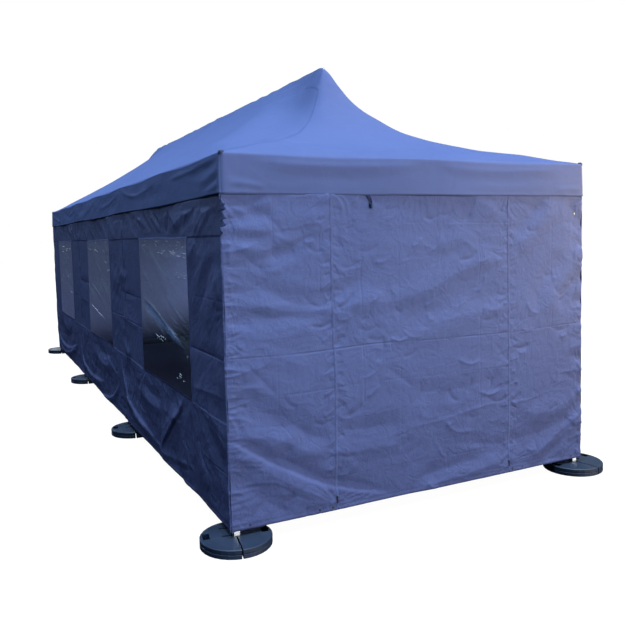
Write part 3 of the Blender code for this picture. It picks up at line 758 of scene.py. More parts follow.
def makeCanopy(plan):
    ox = tent["outerX"] + plan["proud"]
    oy = tent["outerY"] + plan["proud"]
    inner = insetLines(ox, plan)
    peak, until = oy - ox, plan["wrinkledTo"]
    wrinkled = np.linspace(-peak, until, int(round((peak + until) / plan["fineStep"] / 1.15)) + 1)
    onward = np.linspace(until, peak, int(round((peak - until) / plan["step"])) + 1)
    middle = list(wrinkled) + list(onward[1:])
    xs = np.array([-(ox - t) for t in inner] + [ox - t for t in inner[::-1]][1:])
    ys = np.array([-(oy - t) for t in inner] + list(middle[1:-1]) + [oy - t for t in inner[::-1]])
    x, y = np.meshgrid(xs, ys)
    z = canopySurface(x, y)
    inset = np.minimum(ox - np.abs(x), oy - np.abs(y))
    slack = betweenSupports(x, y)
    # the eave is drawn in a little between its supports, and its corners are rounded
    toEdge = np.exp(-inset / 0.12)
    onEnd = (oy - np.abs(y)) < (ox - np.abs(x))
    drawIn = plan["pull"] * slack * toEdge
    shiftX = np.where(onEnd, 0.0, -np.sign(x) * drawIn)
    shiftY = np.where(onEnd, -np.sign(y) * drawIn, 0.0)
    r = plan["cornerRound"]
    dx = np.clip((np.abs(x) - (ox - r)) / r, 0.0, 1.0)
    dy = np.clip((np.abs(y) - (oy - r)) / r, 0.0, 1.0)
    corner = (dx > 0) & (dy > 0)
    roundX = np.sign(x) * (ox - r + r * dx * np.sqrt(1 - dy * dy / 2))
    roundY = np.sign(y) * (oy - r + r * dy * np.sqrt(1 - dx * dx / 2))
    px = np.where(corner, roundX, x) + shiftX
    py = np.where(corner, roundY, y) + shiftY
    rows, columns = x.shape
    index = np.arange(rows * columns).reshape(rows, columns)
    points = listed(px, py, z)
    flat = listed(x, y)
    # triangles, split along the hips
    rising = np.outer(ys[:-1] + ys[1:], xs[:-1] + xs[1:]).ravel() > 0
    quads = list(zip(gridFaces(rows, columns), rising))
    faces = [(a, b, c) if up else (a, b, d) for (a, b, c, d), up in quads]
    faces += [(a, c, d) if up else (b, c, d) for (a, b, c, d), up in quads]
    # once round the eave, anticlockwise seen from above
    loop = list(index[0, :-1]) + list(index[:-1, -1]) + list(index[-1, :0:-1]) + list(index[:0:-1, 0])
    loop = np.array(loop)
    top = points[loop]
    plainX = x.ravel()[loop]
    plainY = y.ravel()[loop]
    ends = (oy - np.abs(plainY)) < 1e-6
    run = np.where(ends, plainX, plainY)
    outX = np.where(ends, 0.0, np.sign(plainX))
    outY = np.where(ends, np.sign(plainY), 0.0)
    # at a rounded corner the way out turns
    cornerX = np.clip((np.abs(plainX) - (ox - r)) / r, 0.0, 1.0)
    cornerY = np.clip((np.abs(plainY) - (oy - r)) / r, 0.0, 1.0)
    turning = (cornerX > 0) & (cornerY > 0)
    long = np.hypot(cornerX, cornerY) + 1e-9
    outX = np.where(turning, np.sign(plainX) * cornerX / long, outX)
    outY = np.where(turning, np.sign(plainY) * cornerY / long, outY)
    reach = np.where(ends, ox - np.abs(plainX), oy - np.abs(plainY))  # from the nearest corner
    half = np.where(ends, 1.5, 4.5)
    swing = np.sin(np.pi * (run / np.where(ends, ox, oy) * half + half) / 3.0) ** 2
    bottom = tent["valanceZ"] - np.where(ends, 0.002, 0.012) * swing
    bottom += 0.002 * softNoise(run, plainX * 0.4, 0.3, 21)
    count = plan["valanceRows"]
    valances = (  # which part of the edge, its folds and how strong they are
        (ends & (plainY < 0), valanceEndFolds, 1.0), (ends & (plainY > 0), valanceEndFolds, 1.0),
        (~ends & (plainX < 0), valanceSideFolds, 0.36), (~ends & (plainX > 0), valanceSideFolds, 0.36))
    rowsMade = []
    rowsFlat = []
    # painted light: marked 1 on the long-side valances, which the cloth material makes lighter
    paintedValanceLight = [np.zeros(len(points))]
    for k in range(1, count + 3):
        share = min(k / count, 1.0)
        height = top[:, 2] + (bottom - top[:, 2]) * share
        out = np.where(ends, *plan["valanceOut"]) * share
        push = np.zeros(len(loop))
        for chosen, folds, strength in valances:
            push += np.where(chosen, foldHeights(run, height, folds, strength), 0.0)
        push += 0.002 * softNoise(run + plainY * 0.37, height, 0.16, 22, 2.2)
        push += crumple(run + plainX * 0.53, height, 0.11, 0.0014, 23, 1.8)
        push += np.where(ends, 0.005, 0.001) * np.sin(np.pi * run / 1.5 + 0.6) * share * share
        push *= easeStep(0.0, 0.10, reach) * easeStep(0.0, 0.2, share) * 0.92 + 0.08
        # a stitched hem: a shallow groove over the edge, and the edge turned in
        push -= 0.0012 * np.exp(-((height - bottom - 0.022) / 0.006) ** 2)
        if k == count + 1:
            push -= 0.0028
        if k == count + 2:
            push -= 0.0032
            height = height + 0.020
        out = out + push
        rowsMade.append(np.stack([top[:, 0] + outX * out, top[:, 1] + outY * out, height], 1))
        rowsFlat.append(np.stack([run, height], 1))
        paintedValanceLight.append(np.where(ends, 0.0, 1.0))
    start = len(points)
    points = np.vstack([points] + rowsMade)
    flat = np.vstack([flat] + rowsFlat)
    n = len(loop)
    above = loop
    nextOne = np.roll(np.arange(n), -1)
    for k in range(len(rowsMade)):
        below = start + k * n + np.arange(n)
        faces += list(zip(above, below, below[nextOne], above[nextOne]))
        above = below
    canopy = newObject("canopy", points, faces, True, flat, {"paintedValanceLight": np.concatenate(paintedValanceLight)})
    finishPiece(canopy, roofCloth, [
        "roof_front", "roof_back", "roof_left", "roof_right",
        "valance_front", "valance_back", "valance_left", "valance_right"])
    return canopy


canopy = makeCanopy(canopyPlan)
print("canopy made:", len(canopy.data.polygons), "faces")

# tapes over the roof's seams, patches at the peaks and caps at the corners
seamPlan = {"half": 0.009, "lift": 0.0008, "bow": 0.045, "step": 0.022, "fromPeak": 0.128, "fromCorner": 0.03,
            "patchLift": 0.0022, "patchLines": 26}


def roofTape(name, start, end, plan=seamPlan):
    start = np.array(start)
    end = np.array(end)
    count = int(np.linalg.norm(end - start) / plan["step"])
    along = np.linspace(0.0, 1.0, count)[:, None]
    line = start + (end - start) * along
    ahead = (end - start) / np.linalg.norm(end - start)
    aside = np.array([-ahead[1], ahead[0]])
    if name.startswith("hip"):  # sewn a little to the long side of the hip
        line = line + aside * np.sign(start[0] * start[1]) * -plan["bow"] * np.sin(np.pi * along)
    offsets = np.array([-1.0, -0.93, -0.45, 0.0, 0.45, 0.93, 1.0]) * plan["half"]
    lifts = np.array([-0.8, 1.0, 0.8, 1.1, 0.8, 1.0, -0.8]) * plan["lift"]
    x = line[:, None, 0] + aside[0] * offsets
    y = line[:, None, 1] + aside[1] * offsets
    z = canopySurface(x, y) + lifts
    flat = listed(np.linalg.norm(line - start, axis=1)[:, None], offsets)
    tape = newObject(name, listed(x, y, z), gridFaces(count, len(offsets), True), True, flat)
    return finishPiece(tape, seamCloth)


corners = [(end + side, across, along) for side, across in (("Left", -1.0), ("Right", 1.0))
           for end, along in (("Front", -1.0), ("Back", 1.0))]
off, foot, peakY = seamPlan["fromPeak"], seamPlan["fromCorner"], tent["peakY"]
for name, across, along in corners:
    hipFoot = (across * (tent["outerX"] - foot), along * (tent["outerY"] - foot))
    roofTape("hipSeam" + name, hipFoot, (across * off, along * (peakY + off)))
roofTape("ridgeSeamFront", (0.0, -peakY + off), (0.0, -off))
roofTape("ridgeSeamBack", (0.0, off), (0.0, peakY - off))

for number, peak in enumerate((-peakY, 0.0, peakY), 1):
    # a square patch with its edge turned under
    half = canopyPlan["patch"]
    lines = np.linspace(-half, half, seamPlan["patchLines"] + 1)
    lines = np.concatenate([[-half - 0.001], lines, [half + 0.001]])
    x, y = np.meshgrid(lines, lines)
    pastEdge = np.maximum(np.abs(x), np.abs(y)) - half
    stitched = 0.0008 * np.exp(-((pastEdge + 0.010) / 0.004) ** 2)
    wavy = 1.0 + 0.05 * softNoise(x, y, 0.08, 19)
    z = canopySurface(x * wavy, y * wavy + peak)
    z = z + np.where(pastEdge > 0, -0.002, seamPlan["patchLift"]) - stitched
    points = listed(x * wavy, y * wavy + peak, z)
    patch = newObject("peakPatch%d" % number, points, gridFaces(len(lines), len(lines)), True, points[:, :2])
    finishPiece(patch, roofCloth)

r = canopyPlan["capRadius"]
capProfile = [(r, -0.010), (r * 1.02, 0.004), (r * 0.96, 0.009), (r * 0.62, 0.014), (r * 0.50, 0.0155),
              (r * 0.46, 0.0125), (0.0, 0.0125)]
for name, across, along in corners:
    place = (across * (tent["outerX"] - 0.012), along * (tent["outerY"] - 0.012), tent["eaveZ"] - 0.004)
    cap = newObject("cornerCap" + name, *turned(capProfile, 40, place))
    finishPiece(cap, darkPlastic)
print("roof seams, patches and caps made")

# wall folds by (x, height) on the front wall: dips are negative
frontFolds = [
    ("soft", -0.004, 0.035, [(-1.58, 2.15), (-1.4, 2.17), (-1.2, 2.2)]),
    ("soft", 0.005, 0.03, [(-1.58, 2.07), (-1.35, 2.12), (-1.14, 2.18)]),
    ("soft", -0.005, 0.028, [(-1.58, 2.03), (-1.4, 2.07), (-1.22, 2.11)]),
    ("crease", -0.003, 0.02, [(-1.24, 2.12), (-1.14, 2.02), (-1.08, 1.94)]),
    ("soft", 0.006, 0.045, [(-1.58, 1.99), (-1.18, 1.99), (-0.91, 2.03), (-0.68, 2.06)]),
    ("soft", -0.006, 0.035, [(-1.58, 1.97), (-1.31, 1.94), (-1.14, 1.975), (-0.8, 2.02)]),
    ("soft", -0.006, 0.05, [(-1.24, 1.8), (-1.01, 1.9), (-0.78, 2.01)]),
    ("soft", 0.005, 0.04, [(-1.2, 1.88), (-0.91, 1.965), (-0.78, 1.98)]),
    ("soft", 0.004, 0.03, [(-1.44, 1.88), (-1.3, 1.88), (-1.15, 1.86)]),
    ("crease", -0.003, 0.018, [(-1.4, 1.86), (-1.28, 1.76), (-1.2, 1.7)]),
    ("crease", -0.003, 0.018, [(-1.19, 1.87), (-1.13, 1.79)]),
    ("soft", -0.007, 0.055, [(-1.58, 1.61), (-1.23, 1.61), (-1.05, 1.53), (-0.8, 1.5), (-0.53, 1.65),
            (-0.34, 1.78)]),
    ("soft", 0.007, 0.05, [(-1.58, 1.62), (-1.2, 1.5), (-1.02, 1.465), (-0.76, 1.46), (-0.53, 1.48),
            (-0.2, 1.47)]),
    ("soft", -0.004, 0.03, [(-1.58, 1.46), (-1.2, 1.44), (-0.83, 1.41), (-0.74, 1.44)]),
    ("soft", 0.005, 0.06, [(-1.5, 1.33), (-1.2, 1.3), (-0.95, 1.34), (-0.8, 1.38)]),
    ("crease", -0.003, 0.02, [(-1.4, 1.17), (-1.27, 1.03), (-1.16, 0.92)]),
    ("soft", -0.009, 0.055, [(-1.58, 0.93), (-1.3, 0.84), (-1.07, 0.73), (-0.95, 0.64), (-0.76, 0.585)]),
    ("soft", 0.007, 0.05, [(-1.58, 0.79), (-1.35, 0.68), (-1.22, 0.665), (-1.02, 0.57), (-0.76, 0.44)]),
    ("lap", -0.011, 0.06, [(-1.58, 0.74), (-1.31, 0.56), (-1.08, 0.43), (-0.86, 0.31), (-0.67, 0.24),
            (-0.3, 0.13)]),
    ("soft", 0.009, 0.05, [(-1.58, 0.66), (-1.23, 0.43), (-1.01, 0.29), (-0.76, 0.14)]),
    ("soft", -0.006, 0.04, [(-1.5, 0.45), (-1.25, 0.24), (-1.05, 0.12)]),
    ("crease", -0.003, 0.02, [(-1.17, 0.35), (-1.29, 0.24), (-1.35, 0.16)]),
    ("soft", 0.005, 0.04, [(-0.78, 0.52), (-0.66, 0.43), (-0.58, 0.33)]),
    ("soft", 0.005, 0.035, [(-0.78, 0.52), (-0.65, 0.475), (-0.45, 0.47), (-0.2, 0.46)]),
    ("soft", -0.006, 0.04, [(-0.76, 0.64), (-0.53, 0.62), (-0.2, 0.63)]),
    ("soft", -0.004, 0.05, [(0.24, 2.22), (0.33, 2.1), (0.42, 2.0)]),
    ("soft", 0.005, 0.05, [(0.4, 2.2), (0.52, 2.15), (0.66, 2.08)]),
    ("soft", 0.005, 0.045, [(0.08, 1.83), (0.28, 1.9), (0.46, 1.81)]),
    ("soft", -0.006, 0.06, [(-0.36, 1.38), (0.01, 1.47), (0.31, 1.58), (0.7, 1.72)]),
    ("soft", 0.008, 0.07, [(-0.36, 1.45), (0.02, 1.55), (0.31, 1.67), (0.76, 1.77)]),
    ("soft", -0.005, 0.06, [(-0.25, 1.25), (0.13, 1.39), (0.47, 1.46), (0.76, 1.47)]),
    ("soft", 0.006, 0.06, [(-0.25, 1.18), (0.1, 1.31), (0.45, 1.36), (0.8, 1.38)]),
    ("soft", 0.006, 0.05, [(1.25, 2.22), (0.97, 1.96), (0.76, 1.76)]),
    ("soft", 0.005, 0.045, [(1.38, 2.2), (1.07, 1.97), (0.85, 1.74)]),
    ("soft", -0.006, 0.05, [(1.36, 2.22), (1.42, 2.05), (1.52, 1.92)]),
    ("soft", -0.005, 0.05, [(1.1, 2.2), (0.9, 2.02), (0.8, 1.9)]),
    ("soft", 0.007, 0.06, [(1.56, 1.8), (1.36, 1.6), (1.2, 1.42), (1.06, 1.27)]),
    ("soft", -0.006, 0.06, [(1.56, 1.66), (1.38, 1.47), (1.26, 1.28)]),
    ("soft", -0.006, 0.06, [(1.3, 1.8), (1.1, 1.55), (0.98, 1.33)]),
    ("crease", -0.003, 0.02, [(-0.36, 1.03), (-0.21, 0.92), (-0.12, 0.86)]),
    ("crease", -0.003, 0.02, [(0.6, 1.14), (0.68, 1.03), (0.76, 0.96)]),
    ("soft", -0.005, 0.045, [(-0.2, 0.84), (0.15, 0.8), (0.45, 0.83), (0.75, 0.86)]),
    ("crease", 0.004, 0.024, [(0.12, 0.6), (0.25, 0.49), (0.42, 0.48)]),
    ("soft", -0.006, 0.045, [(0.26, 0.46), (0.51, 0.355), (0.76, 0.345), (1.17, 0.38), (1.53, 0.48)]),
    ("soft", 0.007, 0.045, [(-0.16, 0.1), (0.17, 0.15), (0.5, 0.18), (0.75, 0.2)]),
    ("soft", -0.006, 0.04, [(-0.12, 0.2), (0.2, 0.23), (0.6, 0.27)]),
    ("soft", 0.008, 0.045, [(1.56, 0.5), (1.17, 0.28), (0.88, 0.15)]),
    ("soft", 0.007, 0.04, [(1.56, 0.52), (1.36, 0.3), (1.24, 0.12)]),
    ("soft", -0.007, 0.04, [(1.54, 0.42), (1.28, 0.25), (1.08, 0.14)]),
    ("soft", -0.006, 0.04, [(1.56, 0.64), (1.46, 0.52), (1.52, 0.38)]),
    ("soft", 0.006, 0.05, [(0.8, 0.62), (1.05, 0.52), (1.35, 0.56), (1.54, 0.66)]),
]

# sharp lines from the way the cloth was folded in its bag: where, from, to, depth
frontUprights = [
    (-1.17, 0.6, 2.24, 0.0016), (-0.84, 1.4, 2.02, 0.003), (-0.53, 0.55, 2.18, 0.0026),
    (-0.23, 0.25, 2.14, 0.0018),
    (0.1, 1.5, 2.24, 0.0022), (0.475, 0.6, 2.22, 0.0028), (1.18, 0.92, 2.04, 0.0022),
    (0.92, 0.3, 1.3, 0.0014),
]
frontLevels = [
    (1.19, -1.5, 1.5, 0.0052), (0.93, -1.5, 0.8, 0.0018), (2.02, -0.2, 0.8, 0.0018),
    (0.32, -0.8, 0.56, 0.0016),
    (0.66, 0.76, 1.5, 0.0014),
]
frontCreases = [
    ("crease", 0.0036, 0.016, [(-0.26, 0.57), (0.15, 0.6), (0.47, 0.65), (0.76, 0.66), (0.85, 0.64),
            (1.22, 0.68)]),
    ("crease", -0.0034, 0.014, [(-1.52, 0.36), (-1.21, 0.35), (-1.09, 0.28), (-0.88, 0.15)]),
    ("crease", 0.0034, 0.012, [(-1.52, 0.375), (-1.22, 0.37), (-1.12, 0.31)]),
    ("crease", 0.003, 0.01, [(-1.15, 0.37), (-1.24, 0.28), (-1.3, 0.2)]),
]


def grooves(u, z, uprights, levels):
    # a groove is 12 mm wide: the mesh has a line at its bottom and at each side
    depth = np.zeros_like(u)
    for place, low, high, deep in uprights:
        ends = easeStep(low, low + 0.07, z) * (1.0 - easeStep(high - 0.07, high, z))
        ends = ends * np.clip(0.45 + 0.9 * softNoise(u * 0.0 + place, z, 0.13, 181), 0.0, 1.0)
        depth += deep * ends * np.clip(1.0 - np.abs(u - place) / 0.006, 0.0, 1.0)
    for place, low, high, deep in levels:
        ends = easeStep(low, low + 0.04, u) * (1.0 - easeStep(high - 0.04, high, u))
        ends = ends * np.clip(0.80 + 0.8 * softNoise(u, z * 0.0 + place, 0.16, 182), 0.0, 1.0)
        depth += deep * ends * np.clip(1.0 - np.abs(z - place) / 0.006, 0.0, 1.0)
    return -depth


def grooveLines(marks):
    return [mark[0] + offset for mark in marks for offset in (-0.006, 0.0, 0.006)]


def edgeGathers(place, facing, low, high, gap, length, height, seed, kind="soft"):
    # small folds that run in from an edge where the cloth is drawn tight
    dice = np.random.default_rng(seed)
    made = []
    z = low
    while z < high:
        run = length * dice.uniform(0.5, 1.5)
        drop = dice.uniform(-0.35, 0.35) * run
        start = (place - facing * 0.03, z)
        mid = (place + facing * run * 0.5, z + drop * 0.35)
        end = (place + facing * run, z + drop)
        rise = height * dice.uniform(0.6, 1.3) * dice.choice([1, 1, -1])
        made.append((kind, rise, gap * dice.uniform(0.22, 0.36), [start, mid, end]))
        z += gap * dice.uniform(0.75, 1.35)
    return made


def topGathers(low, high, gap, drop, height, seed, lean=0.25):
    # folds that fan down from where the wall hangs
    dice = np.random.default_rng(seed)
    made = []
    u = low
    while u < high:
        length = drop * dice.uniform(0.4, 1.2)
        sway = dice.uniform(-lean, lean) * length
        line = [(u, 2.34), (u + sway * 0.4, 2.26 - length * 0.5), (u + sway, 2.26 - length)]
        rise = height * dice.uniform(0.5, 1.2) * dice.choice([1, -1])
        made.append(("soft", rise, gap * dice.uniform(0.2, 0.34), line))
        u += gap * dice.uniform(0.7, 1.3)
    return made


def zipPuckers(place, low, high, seed):
    # short sharp wrinkles that fork away from a sewn zip
    dice = np.random.default_rng(seed)
    made = []
    z = low
    while z < high:
        for facing in (-1, 1):
            run = dice.uniform(0.035, 0.11)
            fall = dice.uniform(-0.9, 0.35) * run
            line = [(place + facing * out, z + down)
                    for out, down in ((0.006, 0.0), (run * 0.5, fall * 0.6), (run, fall))]
            rise = dice.uniform(0.0020, 0.0046) * dice.choice([1, -1])
            made.append(("crease", rise, dice.uniform(0.008, 0.013), line))
        z += dice.uniform(0.028, 0.075)
    return made


def scattered(left, right, low, high, count, length, height, seed):
    # short sharp creases that lie about, most of them nearly level
    dice = np.random.default_rng(seed)
    made = []
    for k in range(count):
        u, z = dice.uniform(left, right), dice.uniform(low, high)
        lean = dice.normal(0.0, 0.55)
        run = length * dice.uniform(0.4, 1.5)
        line = [(u, z), (u + run * math.cos(lean), z + run * math.sin(lean)),
                (u + 1.8 * run * math.cos(lean + 0.3), z + 1.8 * run * math.sin(lean + 0.3))]
        rise = height * dice.uniform(0.5, 1.2) * dice.choice([1, -1])
        made.append(("crease", rise, dice.uniform(0.010, 0.018), line))
    return made


def leaning(low, high, gap, top, bottom, run, height, width, seed):
    # gathers side by side that lean the same way
    dice = np.random.default_rng(seed)
    made = []
    u = low
    while u < high:
        reach = dice.uniform(0.5, 1.1)
        end = top + (bottom - top) * reach
        bend = dice.uniform(0.38, 0.52)
        line = [(u, top), (u + run * reach * bend, top + (end - top) * 0.5), (u + run * reach, end)]
        rise = height * dice.uniform(0.4, 1.2) * dice.choice([1, 1, -1])
        made.append(("soft", rise, width * dice.uniform(0.7, 1.4), line))
        u += gap * dice.uniform(0.6, 1.4)
    return made


frontGathers = (
    edgeGathers(-1.5, 1, 0.12, 2.30, 0.030, 0.060, 0.0034, 31, "crease")
    + edgeGathers(-1.5, 1, 0.14, 2.25, 0.060, 0.17, 0.0034, 30, "crease")
    + edgeGathers(-1.5, 1, 0.14, 2.25, 0.15, 0.45, 0.0052, 29)
    + scattered(-1.45, 1.45, 0.14, 2.15, 130, 0.09, 0.0052, 34)
    + edgeGathers(1.5, -1, 0.14, 2.30, 0.11, 0.10, 0.0055, 32)
    + edgeGathers(1.5, -1, 0.12, 2.30, 0.045, 0.045, 0.0028, 38)
    + zipPuckers(-0.75, 0.16, 2.18, 33)
    + zipPuckers(0.75, 0.16, 2.18, 35)
    + topGathers(-1.45, 1.45, 0.16, 0.16, 0.0034, 37)
)


def frontPull(x, z):
    # forks beside the zips, rows along the edges, rays under the valance: the highest of them counts
    below = np.clip(tent["valanceZ"] - z, -0.05, 3.0)
    wrinkles = []  # height, and the places across and along
    for place in (-tent["doorHalf"], tent["doorHalf"]):
        away = np.abs(x - place)
        wrinkles.append((np.exp(-away / 0.055) * 0.00085, z + 0.95 * away, away + place))
    for edge, rise in ((-1.5, 0.0009), (1.5, 0.0008)):
        away = np.abs(x - edge)
        wrinkles.append((np.exp(-away / 0.035) * rise, z + 0.15 * away, away))
    rays = x + 0.45 * below * np.sign(softNoise(x, z * 0.0, 0.3, 47))
    wrinkles.append((np.exp(-below / 0.075) * 0.00070, rays, z))
    height, across, along = np.zeros_like(x), z, x
    for rise, newAcross, newAlong in wrinkles:
        across = np.where(rise > height, newAcross, across)
        along = np.where(rise > height, newAlong, along)
        height = np.maximum(height, rise)
    return np.stack([across, along, height], -1)


def hemShape(u, z, seed):
    # the hem band: a stitched groove, and a slight wave along the edge
    groove = -0.0014 * np.exp(-((z - tent["hemZ"] - 0.028) / 0.006) ** 2)
    wave = 0.006 * softNoise(u, z * 0.2, 0.30, seed) * np.exp(-(z - tent["hemZ"]) / 0.20)
    return groove + wave


frontTies = [
    ((-1.54, 2.2), 0.3, 0.005, 5.0), ((-1.54, 1.75), 0.16, 0.004, 4.0),
    ((-1.54, 1.3), 0.18, 0.004, 4.0),
    ((-1.54, 0.9), 0.22, 0.005, 4.0), ((-1.54, 0.5), 0.16, 0.004, 4.0),
    ((-0.75, 2.24), 0.22, 0.0045, 6.0),
    ((-0.75, 1.45), 0.14, 0.003, 4.0), ((-0.75, 0.14), 0.2, 0.004, 5.0), ((0.75, 2.24), 0.2, 0.004, 6.0),
    ((0.75, 1.2), 0.14, 0.003, 4.0), ((0.75, 0.14), 0.22, 0.0045, 5.0), ((1.54, 2.2), 0.24, 0.005, 5.0),
    ((1.54, 1.5), 0.18, 0.0045, 4.0), ((1.54, 0.8), 0.18, 0.0045, 4.0), ((1.54, 0.35), 0.2, 0.005, 5.0),
    ((-1.38, 0.09), 0.12, 0.0035, 4.0), ((-0.05, 2.28), 0.22, 0.0035, 6.0),
]


def frontHeight(x, z):
    height = foldHeights(x, z, frontFolds, 1.45) + foldHeights(x, z, frontCreases)
    height += foldHeights(x, z, frontGathers, 1.1)
    height += grooves(x, z, frontUprights, frontLevels)
    for k, (tie, reach, rise, count) in enumerate(frontTies):
        height += fanFolds(x, z, tie, reach, rise, count, 300 + 3 * k)
    height += 0.0035 * softNoise(x, z, 0.50, 41) + 0.0010 * softNoise(x, z, 0.19, 42, 1.8)
    height += crumple(x, z, 0.22, 0.0032, 43, 1.6) + crumple(x, z, 0.080, 0.0009, 45, 1.3)
    # tied back to the side wall at the corner
    return (height + hemShape(x, z, 44)) * (1.0 - 0.55 * easeStep(-1.47, -1.5, x))


def holdIn(height, u, z, legsAt):
    # the wall keeps off the legs and goes in behind the valance
    height = 0.004 + np.clip(height, -0.012, 0.040 - 0.032 * easeStep(2.04, 2.15, z))
    behind = easeStep(tent["valanceZ"] - 0.014, tent["valanceZ"] + 0.032, z)
    height = height * (1.0 - 0.75 * behind) - 0.003 * behind
    atLeg = np.zeros_like(height)
    for leg in legsAt:
        atLeg = np.maximum(atLeg, np.exp(-((u - leg) / 0.05) ** 2))
    return np.where(atLeg > 0.2, np.maximum(height, -0.006), height)


wallSpots = {
    "front": lambda u, z, n: (u, -tent["halfLength"] - n, z),
    "back": lambda u, z, n: (u, tent["halfLength"] + n, z),
    "left": lambda u, z, n: (-tent["halfWidth"] - n, u, z),
    "right": lambda u, z, n: (tent["halfWidth"] + n, u, z),
}
wallFlip = {"front": False, "back": True, "left": True, "right": False}
endLegs = (-tent["legX"], tent["legX"])
sideLegs = (-tent["legY"], -tent["bay"] / 2, tent["bay"] / 2, tent["legY"])
wallLegs = {"front": endLegs, "back": endLegs, "left": sideLegs, "right": sideLegs}
wallReach = {"front": 1.5, "back": 1.5, "left": 4.5, "right": 4.5}
wallWander = {"front": 0.009, "back": 0.009, "left": 0.005, "right": 0.005}
turnedIn = {"hem": 0.026, "side": 0.012, "depths": [0.0026, 0.0022]}  # how far, and how deep behind the cloth
hemLines = [0.010, 0.022, 0.028, 0.034]  # close lines over the hem, for its stitched groove


def wandering(face, u, z):
    # straight seams and creases wander a little, but not at the edges
    size = wallWander[face]
    free = easeStep(0.0, 0.15, wallReach[face] - np.abs(u))
    rise = easeStep(tent["hemZ"], tent["hemZ"] + 0.2, z) * (1.0 - easeStep(2.0, tent["valanceZ"], z))
    sideways = size * free * softNoise(u * 0.4, z, 0.55, 171)
    return sideways, 1.3 * size * rise * softNoise(u, z * 0.4, 0.60, 172)


def onWall(face, heightAt, u, z, out=0.0, shift=0.0):
    # places on a hanging wall, or a little out from it
    n = holdIn(heightAt(u, z), u, z, wallLegs[face]) + out
    du, dz = wandering(face, u, z)
    return np.stack(wallSpots[face](u + du + shift, z + dz, n), -1)


def noShift(u, z):
    return 0.0, 0.0


def wallPiece(name, face, span, steps, heightAt, extras, pullAt, hole=None, edgeAt=noShift):
    # one hanging wall cloth, its hem and side edges turned in
    hem = tent["hemZ"]
    side, depths = turnedIn["side"], turnedIn["depths"]
    across = gridLines(span[0], span[1], steps[0], extras[0])
    up = gridLines(hem, tent["wallTop"], steps[1], list(extras[1]) + [hem + line for line in hemLines])
    across = np.concatenate([[across[0] + side, across[0]], across, [across[-1], across[-1] - side]])
    inAcross = np.concatenate([depths, np.zeros(len(across) - 4), depths[::-1]])
    up = np.concatenate([[up[0] + turnedIn["hem"], up[0]], up])
    inUp = np.concatenate([depths, np.zeros(len(up) - 2)])
    u, z = np.meshgrid(across, up)
    tuck = np.maximum(inAcross[None, :], inUp[:, None])
    shift, wrap = edgeAt(u, z)
    points = onWall(face, heightAt, u, z, wrap - tuck, shift).reshape(-1, 3)
    skip = None
    if hole:
        uc = (across[:-1] + across[1:]) / 2
        zc = (up[:-1] + up[1:]) / 2
        skip = ((uc > hole[0]) & (uc < hole[1]))[None, :] & ((zc > hole[2]) & (zc < hole[3]))[:, None]
    faces = gridFaces(len(up), len(across), wallFlip[face], skip)
    return newObject(name, points, faces, True, listed(u, z), {"pull": pullAt(u, z).reshape(-1, 3)})


# where the front and the side are tied together their edges stand out in points, by height and length
cornerPoints = [(2.172, 0.030), (2.158, 0.044), (2.109, 0.050), (2.053, 0.036), (1.985, 0.022)]


def cornerTeeth(z):
    # each point is long at its bottom, and cut off short below it
    out = np.zeros_like(z)
    for top, drop in cornerPoints:
        down = (top - z) / drop
        out = np.maximum(out, np.where((down >= 0.0) & (down <= 1.0), down, 0.0))
        below = (top - drop - z) / 0.008
        out = np.maximum(out, np.where((below > 0.0) & (below < 1.0), 1.0 - below, 0.0))
    return out * easeStep(1.93, 2.03, z)


def frontEdge(x, z):
    # the left edge bunches out in small scallops
    scallop = 0.5 + 0.5 * np.sin(z / 0.0085 + 2.0 * softNoise(z * 0, z, 0.15, 48))
    out = 0.016 + 0.0020 * scallop + 0.003 * softNoise(z * 0, z, 0.10, 49)
    back = cornerTeeth(z)
    return (0.012 * back - out * (1.0 - back)) * easeStep(-1.47, -1.499, x), 0.0


def sideEdge(y, z):
    # and the side's points stand out forward, past the front's edge
    teeth = cornerTeeth(z)
    out = 0.010 + 0.003 * softNoise(z * 0, z, 0.09, 50) + 0.072 * teeth
    return -out * easeStep(-4.44, -4.497, y), -0.008 * teeth * easeStep(-4.46, -4.499, y)


frontParts = (
    ("frontWallLeft", -1.5, -0.7501, "wall_front_left"),  # 0.2 mm between the cloths
    ("doorPanel", -0.7499, 0.7499, "door_front"),
    ("frontWallRight", 0.7501, 1.5, "wall_front_right"),
)
frontExtras = (grooveLines(frontUprights), grooveLines(frontLevels))
for name, low, high, node in frontParts:
    edge = frontEdge if name == "frontWallLeft" else noShift
    piece = wallPiece(name, "front", (low, high), (0.0078, 0.0074), frontHeight,
                      frontExtras, frontPull, edgeAt=edge)
    finishPiece(piece, wallCloth, [node])
print("front wall made")

# the door's zips: two tapes, their teeth and a slider each
zipPlan = {"tape": 0.0095, "lift": 0.0005, "pitch": 0.0112, "tooth": (0.0040, 0.0046, 0.0009),
           "slider": 0.185, "foot": 0.112}


